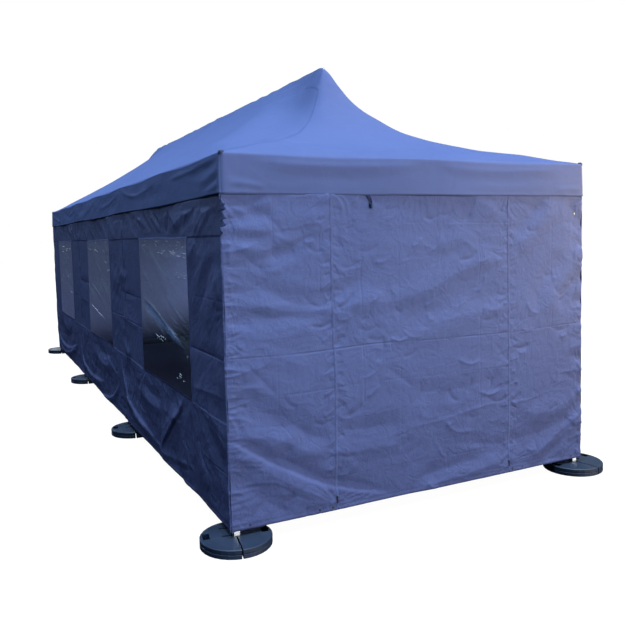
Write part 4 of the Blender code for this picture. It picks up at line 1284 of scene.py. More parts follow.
def makeZip(name, place, plan=zipPlan):
    rows = np.arange(plan["foot"], tent["valanceZ"] + 0.06, 0.0075)
    offsets = np.array([-1.0, -0.95, -0.35, -0.22, 0.22, 0.35, 0.95, 1.0]) * plan["tape"]
    lifts = np.array([-0.6, 1.0, 1.0, 0.5, 0.5, 1.0, 1.0, -0.6]) * plan["lift"]
    u, z = np.meshgrid(place + offsets, rows)
    points = onWall("front", frontHeight, u, z, lifts[None, :]).reshape(-1, 3)
    marks = {"pull": listed(z, u, 0.0006)}
    tape = newObject(name + "Tape", points, gridFaces(len(rows), len(offsets)), True, listed(u, z), marks)
    finishPiece(tape, seamCloth)
    heights = np.arange(plan["foot"] + 0.004, tent["valanceZ"] + 0.05, plan["pitch"] / 2)
    sides = np.where(np.arange(len(heights)) % 2 == 0, -1.0, 1.0) * plan["tooth"][0] * 0.22
    middles = onWall("front", frontHeight, place + sides, heights, plan["lift"] * 0.6)
    wide, tall, deep = plan["tooth"]
    outline = [(-wide / 2, -tall / 2), (wide / 2, -tall / 2), (wide / 2, tall / 2), (-wide / 2, tall / 2)]
    teeth = [plate(outline, 0.0, deep, 0.7, lambda a, b, c, m=m: (m[0] + a, m[1] - c, m[2] + b))
             for m in middles]
    made = newObject(name + "Teeth", *joinParts(teeth), False)
    finishPiece(made, zipPlastic)
    # the slider with its pull
    m = onWall("front", frontHeight, np.array([place]), np.array([plan["slider"]]), 0.0016)[0]

    def spot(a, b, c):
        return (m[0] + a, m[1] - c, m[2] + b)

    body = [(-0.0055, 0.008), (-0.0070, 0.002), (-0.0045, -0.009),
            (0.0045, -0.009), (0.007, 0.002), (0.0055, 0.008)]
    loop = [(-0.0022, 0.003), (-0.0022, -0.006), (0.0022, -0.006), (0.0022, 0.003)]
    pullTab = [(-0.0030, -0.004), (-0.0042, -0.020), (-0.0042, -0.036), (-0.0020, -0.040),
               (0.002, -0.04), (0.0042, -0.036), (0.0042, -0.02), (0.003, -0.004)]
    parts = [plate(outline, low, high, slope, spot) for outline, low, high, slope in (
        (body, 0.0, 0.0052, 0.8), (loop, 0.005, 0.0084, 0.75), (pullTab, 0.0062, 0.0080, 0.86))]
    slider = newObject(name + "Slider", *joinParts(parts), False)
    finishPiece(slider, blackenedSteel)


makeZip("zipLeft", -tent["doorHalf"])
makeZip("zipRight", tent["doorHalf"])
print("zips made")

# eyelets along the hems: a turned ring, and in it a dark disc: painted shade for the hole
eyeletPlan = {"height": 0.118, "hole": 0.0048, "ring": 0.0090, "lift": 0.0018}


def makeEyelets(name, face, heightAt, places, plan=eyeletPlan):
    inner, outer, lift = plan["hole"], plan["ring"], plan["lift"]
    out = np.array(wallSpots[face](0.0, 0.0, 1.0)) - np.array(wallSpots[face](0.0, 0.0, 0.0))
    sign = out[0] + out[1]
    axis = 0 if abs(out[0]) > 0.5 else 1
    ring = [(inner, -0.0006), (inner * 1.04, lift * 0.8), (inner * 1.35, lift), (outer * 0.86, lift * 0.7),
            (outer, -0.0006)]
    # painted shade: a dark disc stands for the hole
    disc = [(inner * 1.05, 0.0003), (0.0003, 0.0002)]
    for ending, profile, material in (("", ring, blackenedSteel), ("HoleShades", disc, darkPlastic)):
        parts = []
        for place in places:
            middle = onWall(face, heightAt, np.array([place]), np.array([plan["height"]]))[0]
            points, faces = turned([(r, h * sign) for r, h in profile], 20, middle, axis)
            parts.append((points, faces if sign > 0 else [f[::-1] for f in faces]))
        finishPiece(newObject(name + ending, *joinParts(parts)), material)


makeEyelets("hemEyeletsFront", "front", frontHeight, (-1.38, -0.885, -0.785, 0.785, 0.885, 1.40))

# a strap with a toggle hangs out from under the front valance
strapPlan = {"path": [(-0.472, -4.507, 2.213), (-0.466, -4.513, 2.199), (-0.458, -4.515, 2.180),
                      (-0.452, -4.515, 2.161), (-0.45, -4.513, 2.14)],
             "width": 0.020, "turns": 1.1, "barrel": 0.0095}


def makeToggle(plan=strapPlan):
    path = smoothLine(plan["path"], 6)
    offsets = np.linspace(-0.5, 0.5, 5) * plan["width"]
    turns = np.linspace(0.0, plan["turns"], len(path))
    rows = [(spot[0] + across * math.cos(turn), spot[1] - 0.3 * across * math.sin(turn), spot[2])
            for spot, turn in zip(path, turns) for across in offsets]
    flat = [(across, spot[2]) for spot in path for across in offsets]
    strap = newObject("valanceStrap", rows, gridFaces(len(path), len(offsets), True), True, flat)
    finishPiece(strap, trimCloth)
    end = path[-1]
    r = plan["barrel"]
    half = [(r * 0.7, 0.001), (r, 0.003), (r, 0.012), (r * 0.7, 0.0155), (0.0005, 0.016)]
    profile = [(radius, -height) for radius, height in half[::-1]] + half
    barrel = newObject("valanceToggle", *turned(profile, 24, (end[0], end[1], end[2] - 0.004), 2))
    finishPiece(barrel, darkPlastic)


makeToggle()
print("eyelets and toggle made")


# the back wall: the front's cloth without a door, with its own folds
def mirrored(folds, tall=1.0, strength=1.0):
    return [(kind, height * strength, width, [(-u, z * tall) for u, z in points])
            for kind, height, width, points in folds]


backGathers = (
    edgeGathers(-1.5, 1, 0.14, 2.30, 0.09, 0.12, 0.0055, 51)
    + edgeGathers(1.5, -1, 0.14, 2.30, 0.10, 0.12, 0.0055, 52)
    + topGathers(-1.45, 1.45, 0.20, 0.24, 0.0035, 53)
)
backFolds = mirrored(frontFolds, 0.97)
backCreases = mirrored(frontCreases, 0.98)
backUprights = [(-place, low, high, deep) for place, low, high, deep in frontUprights]
backUprights.append((0.0, 0.3, 2.2, 0.0024))
backLevels = [(z + 0.012, -high, -low, deep) for z, low, high, deep in frontLevels]


def backHeight(x, z):
    height = foldHeights(x, z, backFolds, 1.2) + foldHeights(x, z, backCreases)
    height += foldHeights(x, z, backGathers)
    height += grooves(x, z, backUprights, backLevels)
    height += 0.0045 * softNoise(x, z, 0.50, 61) + 0.0018 * softNoise(x, z, 0.19, 62, 1.8)
    height += crumple(x, z, 0.16, 0.0022, 63, 1.4)
    height += hemShape(x, z, 64)
    return height


def backPull(x, z):
    byEdge = np.exp(-(1.5 - np.abs(x)) / 0.04) * 0.0012
    byTop = np.exp(-np.clip(tent["valanceZ"] - z, -0.05, 3.0) / 0.08) * 0.0006
    return np.stack([z + 0.2 * np.abs(x), x, np.maximum(byEdge, byTop)], -1)


backExtras = (grooveLines(backUprights), grooveLines(backLevels))
backWall = wallPiece("backWall", "back", (-1.5, 1.5), (0.0168, 0.0168), backHeight, backExtras, backPull)
finishPiece(backWall, wallCloth, ["wall_back"])
makeEyelets("hemEyeletsBack", "back", backHeight, (-1.38, -0.88, -0.3, 0.3, 0.88, 1.38))
print("back wall made")

# the long walls, by (y, height); the first bay is the near one
sideFolds = [
    # gathers under the valance, leaning towards the door end
    ("crease", -0.008, 0.03, [(-3.3, 2.25), (-3.26, 2.08), (-3.18, 1.96)]),
    ("soft", 0.006, 0.04, [(-3.3, 2.02), (-3.62, 2.1), (-3.98, 2.22)]),
    ("soft", -0.005, 0.03, [(-3.4, 1.99), (-3.7, 2.05), (-4.05, 2.16)]),
    ("soft", 0.005, 0.045, [(-3.9, 1.98), (-4.15, 2.1), (-4.4, 2.24)]),
    # beside the first window, towards the corner
    ("soft", 0.007, 0.04, [(-3.98, 1.92), (-3.77, 1.8)]),
    ("soft", 0.008, 0.06, [(-4.2, 1.9), (-4.05, 1.68), (-3.78, 1.4)]),
    ("soft", -0.008, 0.06, [(-4.32, 1.85), (-4.15, 1.62), (-3.9, 1.32)]),
    ("soft", 0.008, 0.055, [(-4.52, 1.78), (-4.2, 1.55), (-3.86, 1.34)]),
    ("soft", 0.007, 0.05, [(-4.5, 1.64), (-4.3, 1.5), (-4.1, 1.35)]),
    ("crease", -0.006, 0.035, [(-3.68, 1.17), (-4.1, 1.18), (-4.54, 1.2)]),
    ("crease", 0.006, 0.035, [(-3.7, 0.885), (-4.2, 0.93), (-4.54, 0.94)]),
    ("crease", -0.007, 0.035, [(-3.72, 0.77), (-3.7, 0.45), (-3.67, 0.05)]),
    ("soft", 0.008, 0.05, [(-4.1, 0.8), (-4.3, 0.72), (-4.48, 0.58)]),
    ("soft", -0.007, 0.05, [(-3.95, 0.79), (-4.2, 0.62), (-4.48, 0.42)]),
    ("soft", 0.008, 0.06, [(-3.82, 0.52), (-3.95, 0.36), (-4.1, 0.24)]),
    ("soft", 0.006, 0.06, [(-4.5, 0.4), (-4.46, 0.25), (-4.42, 0.12)]),
    # under the first window: long shiny folds that meet low down
    ("lap", 0.016, 0.05, [(-3.58, 0.8), (-3.4, 0.62), (-3.22, 0.51), (-2.98, 0.35), (-2.74, 0.17)]),
    ("soft", -0.012, 0.06, [(-3.3, 0.78), (-3.12, 0.62), (-2.98, 0.46)]),
    ("soft", 0.012, 0.05, [(-2.86, 0.54), (-3.1, 0.545), (-3.28, 0.55), (-3.48, 0.53)]),
    ("lap", 0.018, 0.07, [(-1.1, 0.78), (-1.35, 0.5), (-1.6, 0.31), (-2.17, 0.235), (-2.8, 0.18)]),
    ("soft", -0.013, 0.07, [(-1.3, 0.78), (-1.6, 0.52), (-1.95, 0.4), (-2.5, 0.33)]),
    ("crease", 0.009, 0.04, [(-2.72, 0.145), (-3.2, 0.2), (-3.66, 0.28)]),
    ("crease", 0.01, 0.04, [(-2.77, 0.18), (-2.9, 0.38), (-3.2, 0.56)]),
    ("soft", 0.01, 0.04, [(-2.05, 0.56), (-2.4, 0.52), (-2.9, 0.53)]),
    ("soft", -0.01, 0.04, [(-2.2, 0.66), (-2.5, 0.6), (-2.85, 0.6)]),
    ("crease", 0.008, 0.03, [(-1.6, 0.22), (-1.94, 0.24), (-2.3, 0.19)]),
    ("crease", 0.008, 0.03, [(-1.82, 0.42), (-2.1, 0.36), (-2.3, 0.37)]),
    ("soft", 0.01, 0.045, [(-1.34, 0.93), (-1.48, 0.87), (-1.68, 0.8)]),
    ("soft", -0.009, 0.045, [(-1.55, 0.74), (-1.85, 0.6), (-2.1, 0.56)]),
    ("soft", -0.01, 0.06, [(-3.1, 0.3), (-3.3, 0.14), (-3.45, 0.08)]),
    # beside the leg between the first two bays
    ("crease", -0.006, 0.03, [(-1.27, 1.43), (-1.6, 1.42), (-2.06, 1.41)]),
    ("crease", 0.007, 0.035, [(-1.27, 1.17), (-1.6, 1.16), (-2.1, 1.14)]),
    ("soft", 0.007, 0.035, [(-1.36, 1.61), (-1.63, 1.58)]),
    # the middle bay
    ("soft", -0.004, 0.06, [(-0.78, 1.8), (-0.95, 1.7), (-1.2, 1.66)]),
    ("soft", 0.004, 0.06, [(-0.78, 1.62), (-1.0, 1.55), (-1.3, 1.5)]),
    ("soft", -0.004, 0.05, [(-0.78, 1.46), (-1.05, 1.38), (-1.3, 1.36)]),
    ("soft", 0.004, 0.05, [(-0.78, 1.15), (-1.05, 1.12), (-1.35, 1.1)]),
    ("lap", 0.018, 0.08, [(1.85, 0.72), (1.62, 0.42), (1.4, 0.26), (0.9, 0.2), (0.4, 0.22),
            (-0.2, 0.28)]),
    ("soft", -0.014, 0.08, [(1.4, 0.72), (1.1, 0.48), (0.6, 0.38), (0.1, 0.36)]),
    ("lap", 0.014, 0.06, [(0.1, 0.08), (-0.4, 0.14), (-0.75, 0.26), (-1.02, 0.44)]),
    ("soft", 0.012, 0.06, [(0.5, 0.62), (0.2, 0.52), (-0.3, 0.5), (-0.7, 0.56)]),
    ("soft", -0.011, 0.06, [(0.4, 0.7), (0.0, 0.62), (-0.5, 0.64)]),
    ("crease", 0.009, 0.045, [(-0.1, 0.74), (-0.5, 0.58), (-0.95, 0.5)]),
    ("soft", 0.012, 0.07, [(1.2, 0.55), (0.85, 0.4), (0.5, 0.3)]),
    ("crease", -0.007, 0.04, [(0.8, 1.42), (1.1, 1.4), (1.55, 1.41)]),
    ("crease", 0.007, 0.04, [(0.8, 1.17), (1.2, 1.17), (1.55, 1.19)]),
    # the far bay
    ("lap", 0.018, 0.08, [(4.45, 0.55), (4.1, 0.3), (3.5, 0.24), (2.7, 0.3), (1.95, 0.46)]),
    ("lap", 0.015, 0.07, [(4.4, 0.25), (3.7, 0.14), (3.0, 0.2), (2.2, 0.36)]),
    ("soft", -0.014, 0.08, [(4.2, 0.6), (3.6, 0.44), (3.0, 0.46), (2.4, 0.6)]),
    ("soft", 0.012, 0.07, [(3.6, 0.66), (3.1, 0.56), (2.6, 0.66)]),
]


def sideGathers(seed):
    made = []
    for k, leg in enumerate((-4.5, -1.5, 1.5, 4.5)):
        if leg > -4.4:
            made += edgeGathers(leg, -1, 0.16, 2.15, 0.17, 0.16, 0.0045, seed + k)
        if leg < 4.4:
            made += edgeGathers(leg, 1, 0.16, 2.15, 0.17, 0.16, 0.0045, seed + 10 + k)
    made += topGathers(-4.4, 4.4, 0.20, 0.24, 0.0040, seed + 20, 0.5)
    for k, (low, high) in enumerate(((-3.1, -1.6), (-0.6, 1.3), (2.3, 4.3))):
        made += leaning(low, high, 0.085, 2.32, 1.95, -0.62, 0.0046, 0.018, seed + 30 + k)
    made += leaning(-4.3, -3.1, 0.12, 2.32, 1.97, 0.25, 0.0022, 0.016, seed + 34)
    # fine ones beside the windows, up towards the nearer corner, and creases low down
    for k, (low, high) in enumerate(((-3.80, -3.70), (-0.80, -0.70), (2.20, 2.30))):
        for z in np.arange(0.72, 1.90, 0.075):
            drawn = seed + 40 + 20 * k + int(z * 13)
            made += leaning(low, high, 0.12, z, z + 0.42, -0.68, 0.0013, 0.011, drawn)
    made += scattered(-4.4, 4.4, 0.14, 0.76, 130, 0.16, 0.0044, seed + 90)
    made += scattered(-4.4, 4.4, 0.80, 2.15, 90, 0.12, 0.0013, seed + 91)
    return made


# folding lines of the long walls: where, from, to, depth
sideUprights = [
    (-3.7, 0.12, 0.76, 0.0036), (-4.12, 0.1, 0.78, 0.0018), (-4.2, 1.95, 2.22, 0.0018),
    (-2.1, 0.15, 0.7, 0.002),
    (-0.9, 0.2, 0.76, 0.0024), (0.86, 0.15, 0.74, 0.0022), (2.14, 0.15, 0.74, 0.0022),
    (3.92, 0.2, 1.9, 0.0022),
    (-1.95, 0.8, 1.94, 0.0016), (1.05, 0.8, 1.9, 0.0018),
]
sideLevels = [
    (1.18, -4.5, -3.76, 0.0036), (1.42, -2.24, -1.54, 0.0026), (1.16, -2.24, -1.54, 0.003),
    (1.18, -1.46, -0.76, 0.003), (1.55, -4.5, -3.76, 0.0014), (1.42, 0.76, 1.46, 0.0026),
    (1.18, 0.76, 1.46, 0.003),
    (1.18, 1.54, 2.24, 0.003), (1.18, 3.76, 4.5, 0.003), (0.45, -4.5, -3.9, 0.0022),
    (0.42, 3.2, 4.5, 0.0022),
]
leftFolds = sideFolds + sideGathers(70)
rightFolds = mirrored(sideFolds, 1.0, 0.85) + sideGathers(90)

sideTies = [
    ((-4.54, 2.22), 0.3, 0.006, 5.0), ((-4.54, 1.55), 0.3, 0.005, 5.0),
    ((-4.54, 0.6), 0.26, 0.005, 5.0),
    ((-3.72, 2.26), 0.16, 0.005, 5.0), ((-3.0, 2.3), 0.34, 0.008, 7.0),
    ((-2.28, 2.26), 0.22, 0.006, 6.0),
    ((-1.5, 2.26), 0.26, 0.006, 6.0), ((-3.74, 1.97), 0.14, 0.0035, 5.0),
    ((-3.74, 0.76), 0.26, 0.006, 5.0),
    ((-2.26, 0.76), 0.3, 0.007, 5.0), ((-1.5, 1.3), 0.22, 0.004, 5.0),
    ((-1.5, 0.15), 0.34, 0.008, 5.0),
    ((-4.46, 0.1), 0.24, 0.006, 5.0), ((-2.9, 0.1), 0.26, 0.007, 5.0), ((0.0, 2.3), 0.34, 0.008, 7.0),
    ((0.74, 2.26), 0.2, 0.005, 5.0), ((-0.74, 2.26), 0.2, 0.005, 5.0), ((1.5, 2.26), 0.26, 0.006, 6.0),
    ((0.75, 0.76), 0.28, 0.007, 5.0), ((-0.75, 0.76), 0.28, 0.007, 5.0), ((1.5, 0.15), 0.34, 0.008, 5.0),
    ((0.1, 0.1), 0.28, 0.007, 5.0), ((3.0, 2.3), 0.34, 0.008, 7.0), ((4.54, 2.22), 0.3, 0.006, 5.0),
    ((2.26, 0.76), 0.28, 0.007, 5.0), ((3.74, 0.76), 0.28, 0.007, 5.0), ((3.0, 0.1), 0.3, 0.007, 5.0),
    ((4.54, 0.5), 0.28, 0.006, 5.0), ((1.5, 1.3), 0.22, 0.004, 5.0),
]


def sideHeight(folds, seed, sign):
    def heightAt(y, z):
        height = foldHeights(y, z, folds, 0.80) + grooves(sign * y, z, sideUprights, sideLevels)
        for k, (tie, reach, rise, count) in enumerate(sideTies):
            near = np.abs(y - tie[0]) < 4 * reach
            if near.any():
                fan = fanFolds(y, z, tie, reach, 0.45 * rise, count, seed + 400 + 3 * k)
                height += np.where(near, fan, 0.0)
        low = 1.0 + 2.2 * (1.0 - easeStep(0.25, 0.9, z))  # more crumpled low down
        height += 0.0040 * softNoise(y, z, 0.70, seed) + 0.0007 * softNoise(y, z, 0.22, seed + 1, 1.6)
        rough = crumple(y, z, 0.26, 0.0022, seed + 2, 1.6) + crumple(y, z, 0.10, 0.0010, seed + 6, 1.3)
        height += low * rough
        height += hemShape(y, z, seed + 3) + 0.006 * easeStep(0.10, 0.50, z)
        height *= 1.0 - 0.7 * easeStep(-4.44, -4.5, sign * y)
        # seams over and under the windows: the cloth between them lies over the strips at top and bottom
        height += np.where(z < tent["sillZ"] - 0.0105, 0.0006, 0.0)
        height += np.where(z > tent["headZ"] + 0.0105, 0.0008, 0.0)
        # joined at the legs: a flap, and a deep gap beside it
        for leg in (-1.5, 1.5):
            away = sign * (y - leg)
            height += 0.0030 * easeStep(-0.030, -0.026, away) * (1.0 - easeStep(0.020, 0.030, away))
            height -= 0.0060 * np.clip(1.0 - np.abs(away + 0.036) / 0.008, 0.0, 1.0)
        return height
    return heightAt


def sidePull(sign):
    def pullAt(y, z):
        # crisp folds that rise towards the nearer end of each bay, and finer ones under the windows
        y = y * sign
        bayPlace = (y + 4.5) % 3.0
        towards = 1.0 - 2.0 * easeStep(1.3, 1.7, bayPlace) * (y > -1.5)
        across = 0.26 * (0.66 * z + 0.75 * y * towards)
        along = 0.5 * (0.75 * z - 0.66 * y * towards)
        calm = 0.55 + 0.45 * softNoise(y, z, 0.45, 149)
        fromLeg = np.abs(bayPlace - 1.5 * (1 + np.sign(bayPlace - 1.5)))
        height = 0.0016 * calm * (0.6 + 0.4 * np.exp(-fromLeg / 0.4))
        return np.stack([across, along, height], -1)
    return pullAt


# film folds by metres from the window's front edge, and height
filmFolds = [
    ("lap", 0.01, 0.018, [(-0.03, 1.45), (0.45, 1.36), (0.95, 1.23), (1.4, 1.12)]),
    ("soft", -0.008, 0.03, [(0.0, 1.4), (0.5, 1.3), (1.0, 1.17)]),
    ("soft", 0.006, 0.02, [(-0.02, 1.37), (0.25, 1.27), (0.45, 1.18)]),
    ("soft", 0.006, 0.018, [(-0.02, 1.93), (0.1, 1.87), (0.22, 1.8)]),
    ("soft", 0.006, 0.02, [(0.02, 1.7), (0.22, 1.6), (0.42, 1.51)]),
    ("soft", 0.006, 0.022, [(0.85, 1.5), (1.1, 1.41), (1.4, 1.32)]),
    ("soft", -0.005, 0.025, [(0.6, 1.56), (0.95, 1.42), (1.2, 1.34)]),
    ("crease", 0.004, 0.014, [(0.25, 1.17), (0.52, 1.15), (0.86, 1.15)]),
    ("crease", 0.005, 0.012, [(0.55, 1.86), (0.75, 1.84), (0.9, 1.8), (1.05, 1.83)]),
    ("crease", 0.005, 0.012, [(1.0, 1.82), (1.2, 1.8), (1.38, 1.84), (1.46, 1.83)]),
    ("crease", 0.004, 0.012, [(1.1, 1.66), (1.25, 1.68), (1.44, 1.65)]),
    ("soft", 0.005, 0.03, [(0.3, 1.9), (0.6, 1.7), (0.95, 1.55)]),
    ("crease", 0.004, 0.012, [(0.15, 1.9), (0.28, 1.86), (0.4, 1.9)]),
    ("soft", 0.005, 0.02, [(0.05, 1.0), (0.3, 0.94), (0.6, 0.84)]),
]


filmPlan = {"slant": 0.30, "ribWidth": 0.0011, "ribHeight": 0.0016, "ribStep": 0.012, "behindSides": 0.028,
            "behindEnds": 0.018}
# painted highlights: bright bands on each window's film; and crinkles, pale ribs that catch the light as
# glints:
# metres from the window's far edge, height
filmGleams = {
    1: [("soft", 0.8, 0.009, [(-0.05, 1.425), (0.7, 1.268), (1.46, 1.11)]),
        ("soft", 1.1, 0.024, [(0.02, 1.412), (0.6, 1.286), (1.25, 1.154)]),
        ("soft", 0.55, 0.005, [(0.1, 1.36), (0.5, 1.25), (0.8, 1.17)]),
        ("soft", 0.4, 0.005, [(-0.02, 1.93), (0.25, 1.83), (0.5, 1.72)]),
        ("soft", 0.35, 0.005, [(0.02, 1.7), (0.3, 1.61), (0.55, 1.5)]),
        ("soft", 0.3, 0.006, [(0.7, 1.58), (1.05, 1.44), (1.4, 1.33)]),
        ("soft", 0.3, 0.005, [(0.5, 1.8), (0.95, 1.62), (1.25, 1.5)])],
    2: [("soft", 0.45, 0.006, [(0.0, 1.88), (0.4, 1.74), (0.8, 1.6)]),
        ("soft", 0.4, 0.006, [(0.9, 1.94), (1.2, 1.8), (1.45, 1.66)]),
        ("soft", 0.35, 0.006, [(0.3, 1.4), (0.7, 1.28), (1.1, 1.14)])],
    3: [("soft", 0.8, 0.0065, [(0.1, 1.8), (0.6, 1.55), (1.15, 1.28)]),
        ("soft", 0.4, 0.006, [(0.4, 1.9), (0.9, 1.7), (1.4, 1.46)])],
}
# crinkles: how many, from and to in metres from the far edge, between which heights, how long
filmRibs = {
    1: [(22, 0.5, 1.42, 1.81, 1.935, 0.09), (9, 0.02, 0.6, 1.88, 1.938, 0.08),
        (6, 1.1, 1.42, 1.64, 1.7, 0.08),
        (4, 0.95, 1.3, 0.865, 0.925, 0.06), (3, 0.2, 0.8, 1.13, 1.165, 0.2),
        (2, 1.28, 1.4, 1.06, 1.11, 0.06)],
    2: [(1, 0.1, 0.14, 1.15, 1.16, 0.9), (9, 0.1, 1.4, 1.8, 1.935, 0.12),
        (4, 0.6, 1.4, 1.55, 1.75, 0.1)],
    3: [(7, 0.1, 1.4, 1.78, 1.93, 0.22), (4, 0.2, 1.3, 1.15, 1.5, 0.2)],
}


def makeFilm(face, bay, hole, surface, step, seed):
    # the film lies behind the border of its window
    sill, head = tent["sillZ"], tent["headZ"]
    plan = filmPlan

    def fromFar(u):
        return hole[1] - u if face == "left" else u - hole[0]

    def filmOut(u, z):
        inside = np.minimum(np.minimum(u - hole[0], hole[1] - u), np.minimum(z - sill, head - z))
        free = easeStep(0.0, 0.05, inside)
        out = holdIn(surface(u, z) * (1.0 - 0.75 * free), u, z, ()) - 0.0010 - 0.0012 * (1.0 - free)
        out += free * foldHeights(fromFar(u), z, filmFolds)
        return out + free * crumple(u, z, 0.09, 0.0016, seed + 40 + bay, 1.3)

    def place(u, z, out):
        du, dz = wandering(face, u, z)
        return np.stack(wallSpots[face](u + du, z + dz, out), -1)

    sides, ends = plan["behindSides"], plan["behindEnds"]
    across = gridLines(hole[0] - sides, hole[1] + sides, step)
    up = gridLines(sill - ends, head + ends, step)
    u, z = np.meshgrid(across, up)
    far = fromFar(u)
    slant = plan["slant"] + 0.12 * softNoise(far, z, 0.6, seed + 60 + bay)
    # painted reflection: the streaks show only above about 1 m, where the film would mirror the sky, not the
    # ground
    shine = easeStep(1.00, 1.32, z + 0.04 * far) * (0.75 + 0.35 * softNoise(far, z, 0.3, seed + 70 + bay))
    reflectionStreak = listed(z * np.cos(slant) + far * np.sin(slant), far * np.cos(slant) - z * np.sin(slant), shine)
    # painted highlight: where the bright bands lie
    gleam = np.clip(foldHeights(far, z, filmGleams[bay]), 0.0, 1.3)
    ending = face.capitalize() + str(bay)
    faces = gridFaces(len(up), len(across), wallFlip[face])
    points = place(u, z, filmOut(u, z)).reshape(-1, 3)
    film = newObject("windowFilm" + ending, points, faces, True, listed(u, z),
                     {"reflectionStreak": reflectionStreak, "gleam": gleam.ravel()})
    finishPiece(film, clearFilm, ["window_%s_%d" % (face, bay)])
    dice = np.random.default_rng(seed + 80 + bay)

    def crinkle(near, end, low, high, reach):
        # a low rib with a jagged path
        length = reach * dice.uniform(0.5, 1.3)
        count = max(4, int(length / plan["ribStep"]))
        along = np.linspace(0.0, length, count)
        marks = np.clip(dice.uniform(near, end) + along, 0.006, 1.494)
        heights = dice.uniform(low, high) + along * dice.uniform(-0.14, 0.06)
        heights = np.clip(heights + dice.uniform(-0.0045, 0.0045, count), sill + 0.01, head - 0.008)
        size = (np.sin(np.linspace(0.08, math.pi - 0.08, count)) * dice.uniform(0.5, 1.2, count))[:, None]
        z = heights[:, None] + np.array([-1.0, -0.2, 0.3, 1.0]) * plan["ribWidth"] * size
        u = np.repeat((hole[1] - marks if face == "left" else hole[0] + marks)[:, None], 4, axis=1)
        crest = plan["ribHeight"] * size * np.array([0.0, 1.0, 0.9, 0.0])
        spots = place(u, z, filmOut(u, z) + crest - np.array([0.0004, 0.0, 0.0, 0.0004]))
        return spots.reshape(-1, 3), gridFaces(count, 4, face != "left")

    parts = [crinkle(*field[1:]) for field in filmRibs[bay] for k in range(field[0])]
    # painted glints: pale ribs over the film
    finishPiece(newObject("filmCrinkles" + ending, *joinParts(parts)), filmGlint)


def makeSideWall(face, bay, folds, seed, steps, filmStep):
    sign = 1 if face == "left" else -1
    low = -tent["halfLength"] + tent["bay"] * (bay - 1)
    high = low + tent["bay"]
    sill, head = tent["sillZ"], tent["headZ"]
    hole = (low + tent["windowStart"], low + tent["windowStart"] + tent["windowWidth"], sill, head)
    extraAcross = [hole[0] - 0.020, hole[0] - 0.014, hole[0], hole[1], hole[1] + 0.014, hole[1] + 0.020]
    for leg in (low, high):
        extraAcross += [leg + sign * o for o in (-0.044, -0.036, -0.030, -0.026, 0.020, 0.030)]
    extraAcross += [sign * v for v in grooveLines(sideUprights)]
    extraUp = [sill - o for o in (0.018, 0.011, 0.010, 0.0)] + [head + o for o in (0.0, 0.010, 0.011, 0.018)]
    extraUp += grooveLines(sideLevels)
    base = sideHeight(folds, seed, sign)

    def withBorder(y, z):
        # tape sewn round the window's sides
        outside = np.maximum(hole[0] - y, y - hole[1])
        within = (z > sill - 0.0105) & (z < head + 0.0105)
        return base(y, z) + np.where(within, 0.0014 * (1.0 - easeStep(0.014, 0.020, outside)), 0.0)

    name = "sideWall" + face.capitalize() + str(bay)
    edge = sideEdge if name == "sideWallLeft1" else noShift
    span = (low + tent["seam"], high - tent["seam"])
    extras = (extraAcross, extraUp)
    wall = wallPiece(name, face, span, steps, withBorder, extras, sidePull(sign), hole, edge)
    finishPiece(wall, sideCloth, ["wall_%s_%d" % (face, bay)])
    makeFilm(face, bay, hole, base, filmStep, seed)
    spread = (0.12, 0.75, 1.12, 1.88, 2.25, 2.88)
    makeEyelets("hemEyelets" + face.capitalize() + str(bay), face, withBorder, [low + v for v in spread])


bayGrids = ((1, (0.018, 0.0088), 0.0098), (2, (0.025, 0.0104), 0.014), (3, (0.036, 0.0120), 0.016))
for bay, steps, filmStep in bayGrids:
    makeSideWall("left", bay, leftFolds, 110, steps, filmStep)
for bay in (1, 2, 3):
    makeSideWall("right", bay, rightFolds, 140, (0.026, 0.0215), 0.022)
print("long walls and windows made")

# carried over: the frame and the weights
for name, node in nodes.items():
    if node.hide_render:
        continue
    material = weightRubber if name.startswith("weight") else aluminium
    node.data.materials.clear()
    node.data.materials.append(material)
print("frame and weights finished")

# floor, light and camera
# the floor is pale to the eye, and throws little light back on the cloth
floorPlan = {"reach": 60.0, "drop": 0.001, "outdoorsX": 1.46, "outdoorsY": 4.46,
             "underHemX": 1.34, "underHemY": 4.24}
floorMaterial, floorTree, floorShader = newMaterial("paleFloor")
floorSeen = addNode(floorTree, "ShaderNodeLightPath", (100, 200)).outputs
floorParts = splitParts(floorTree, objectPlace(floorTree))


def pastEdges(x, y):
    # 1 on the floor outside of a rectangle
    past = [mathNode(floorTree, "GREATER_THAN", mathNode(floorTree, "ABSOLUTE", part), edge)
            for part, edge in zip(floorParts, (x, y))]
    return mathNode(floorTree, "MAXIMUM", *past)


outdoors = pastEdges(floorPlan["outdoorsX"], floorPlan["outdoorsY"])
notThroughFilm = mathNode(floorTree, "LESS_THAN", floorSeen["Transparent Depth"], 0.5)
paleShare = mathNode(floorTree, "MULTIPLY", notThroughFilm, floorSeen["Is Camera Ray"])
pastHem = pastEdges(floorPlan["underHemX"], floorPlan["underHemY"])
paleShare = mathNode(floorTree, "MULTIPLY", paleShare, pastHem)
# painted shade: under the tent the floor is near black
dimmed = colourMix(floorTree, outdoors, (0.022, 0.027, 0.050), (0.0025, 0.003, 0.005))
wire(floorTree, colourMix(floorTree, paleShare, dimmed, (0.050, 0.043, 0.040)), floorShader["Base Color"])
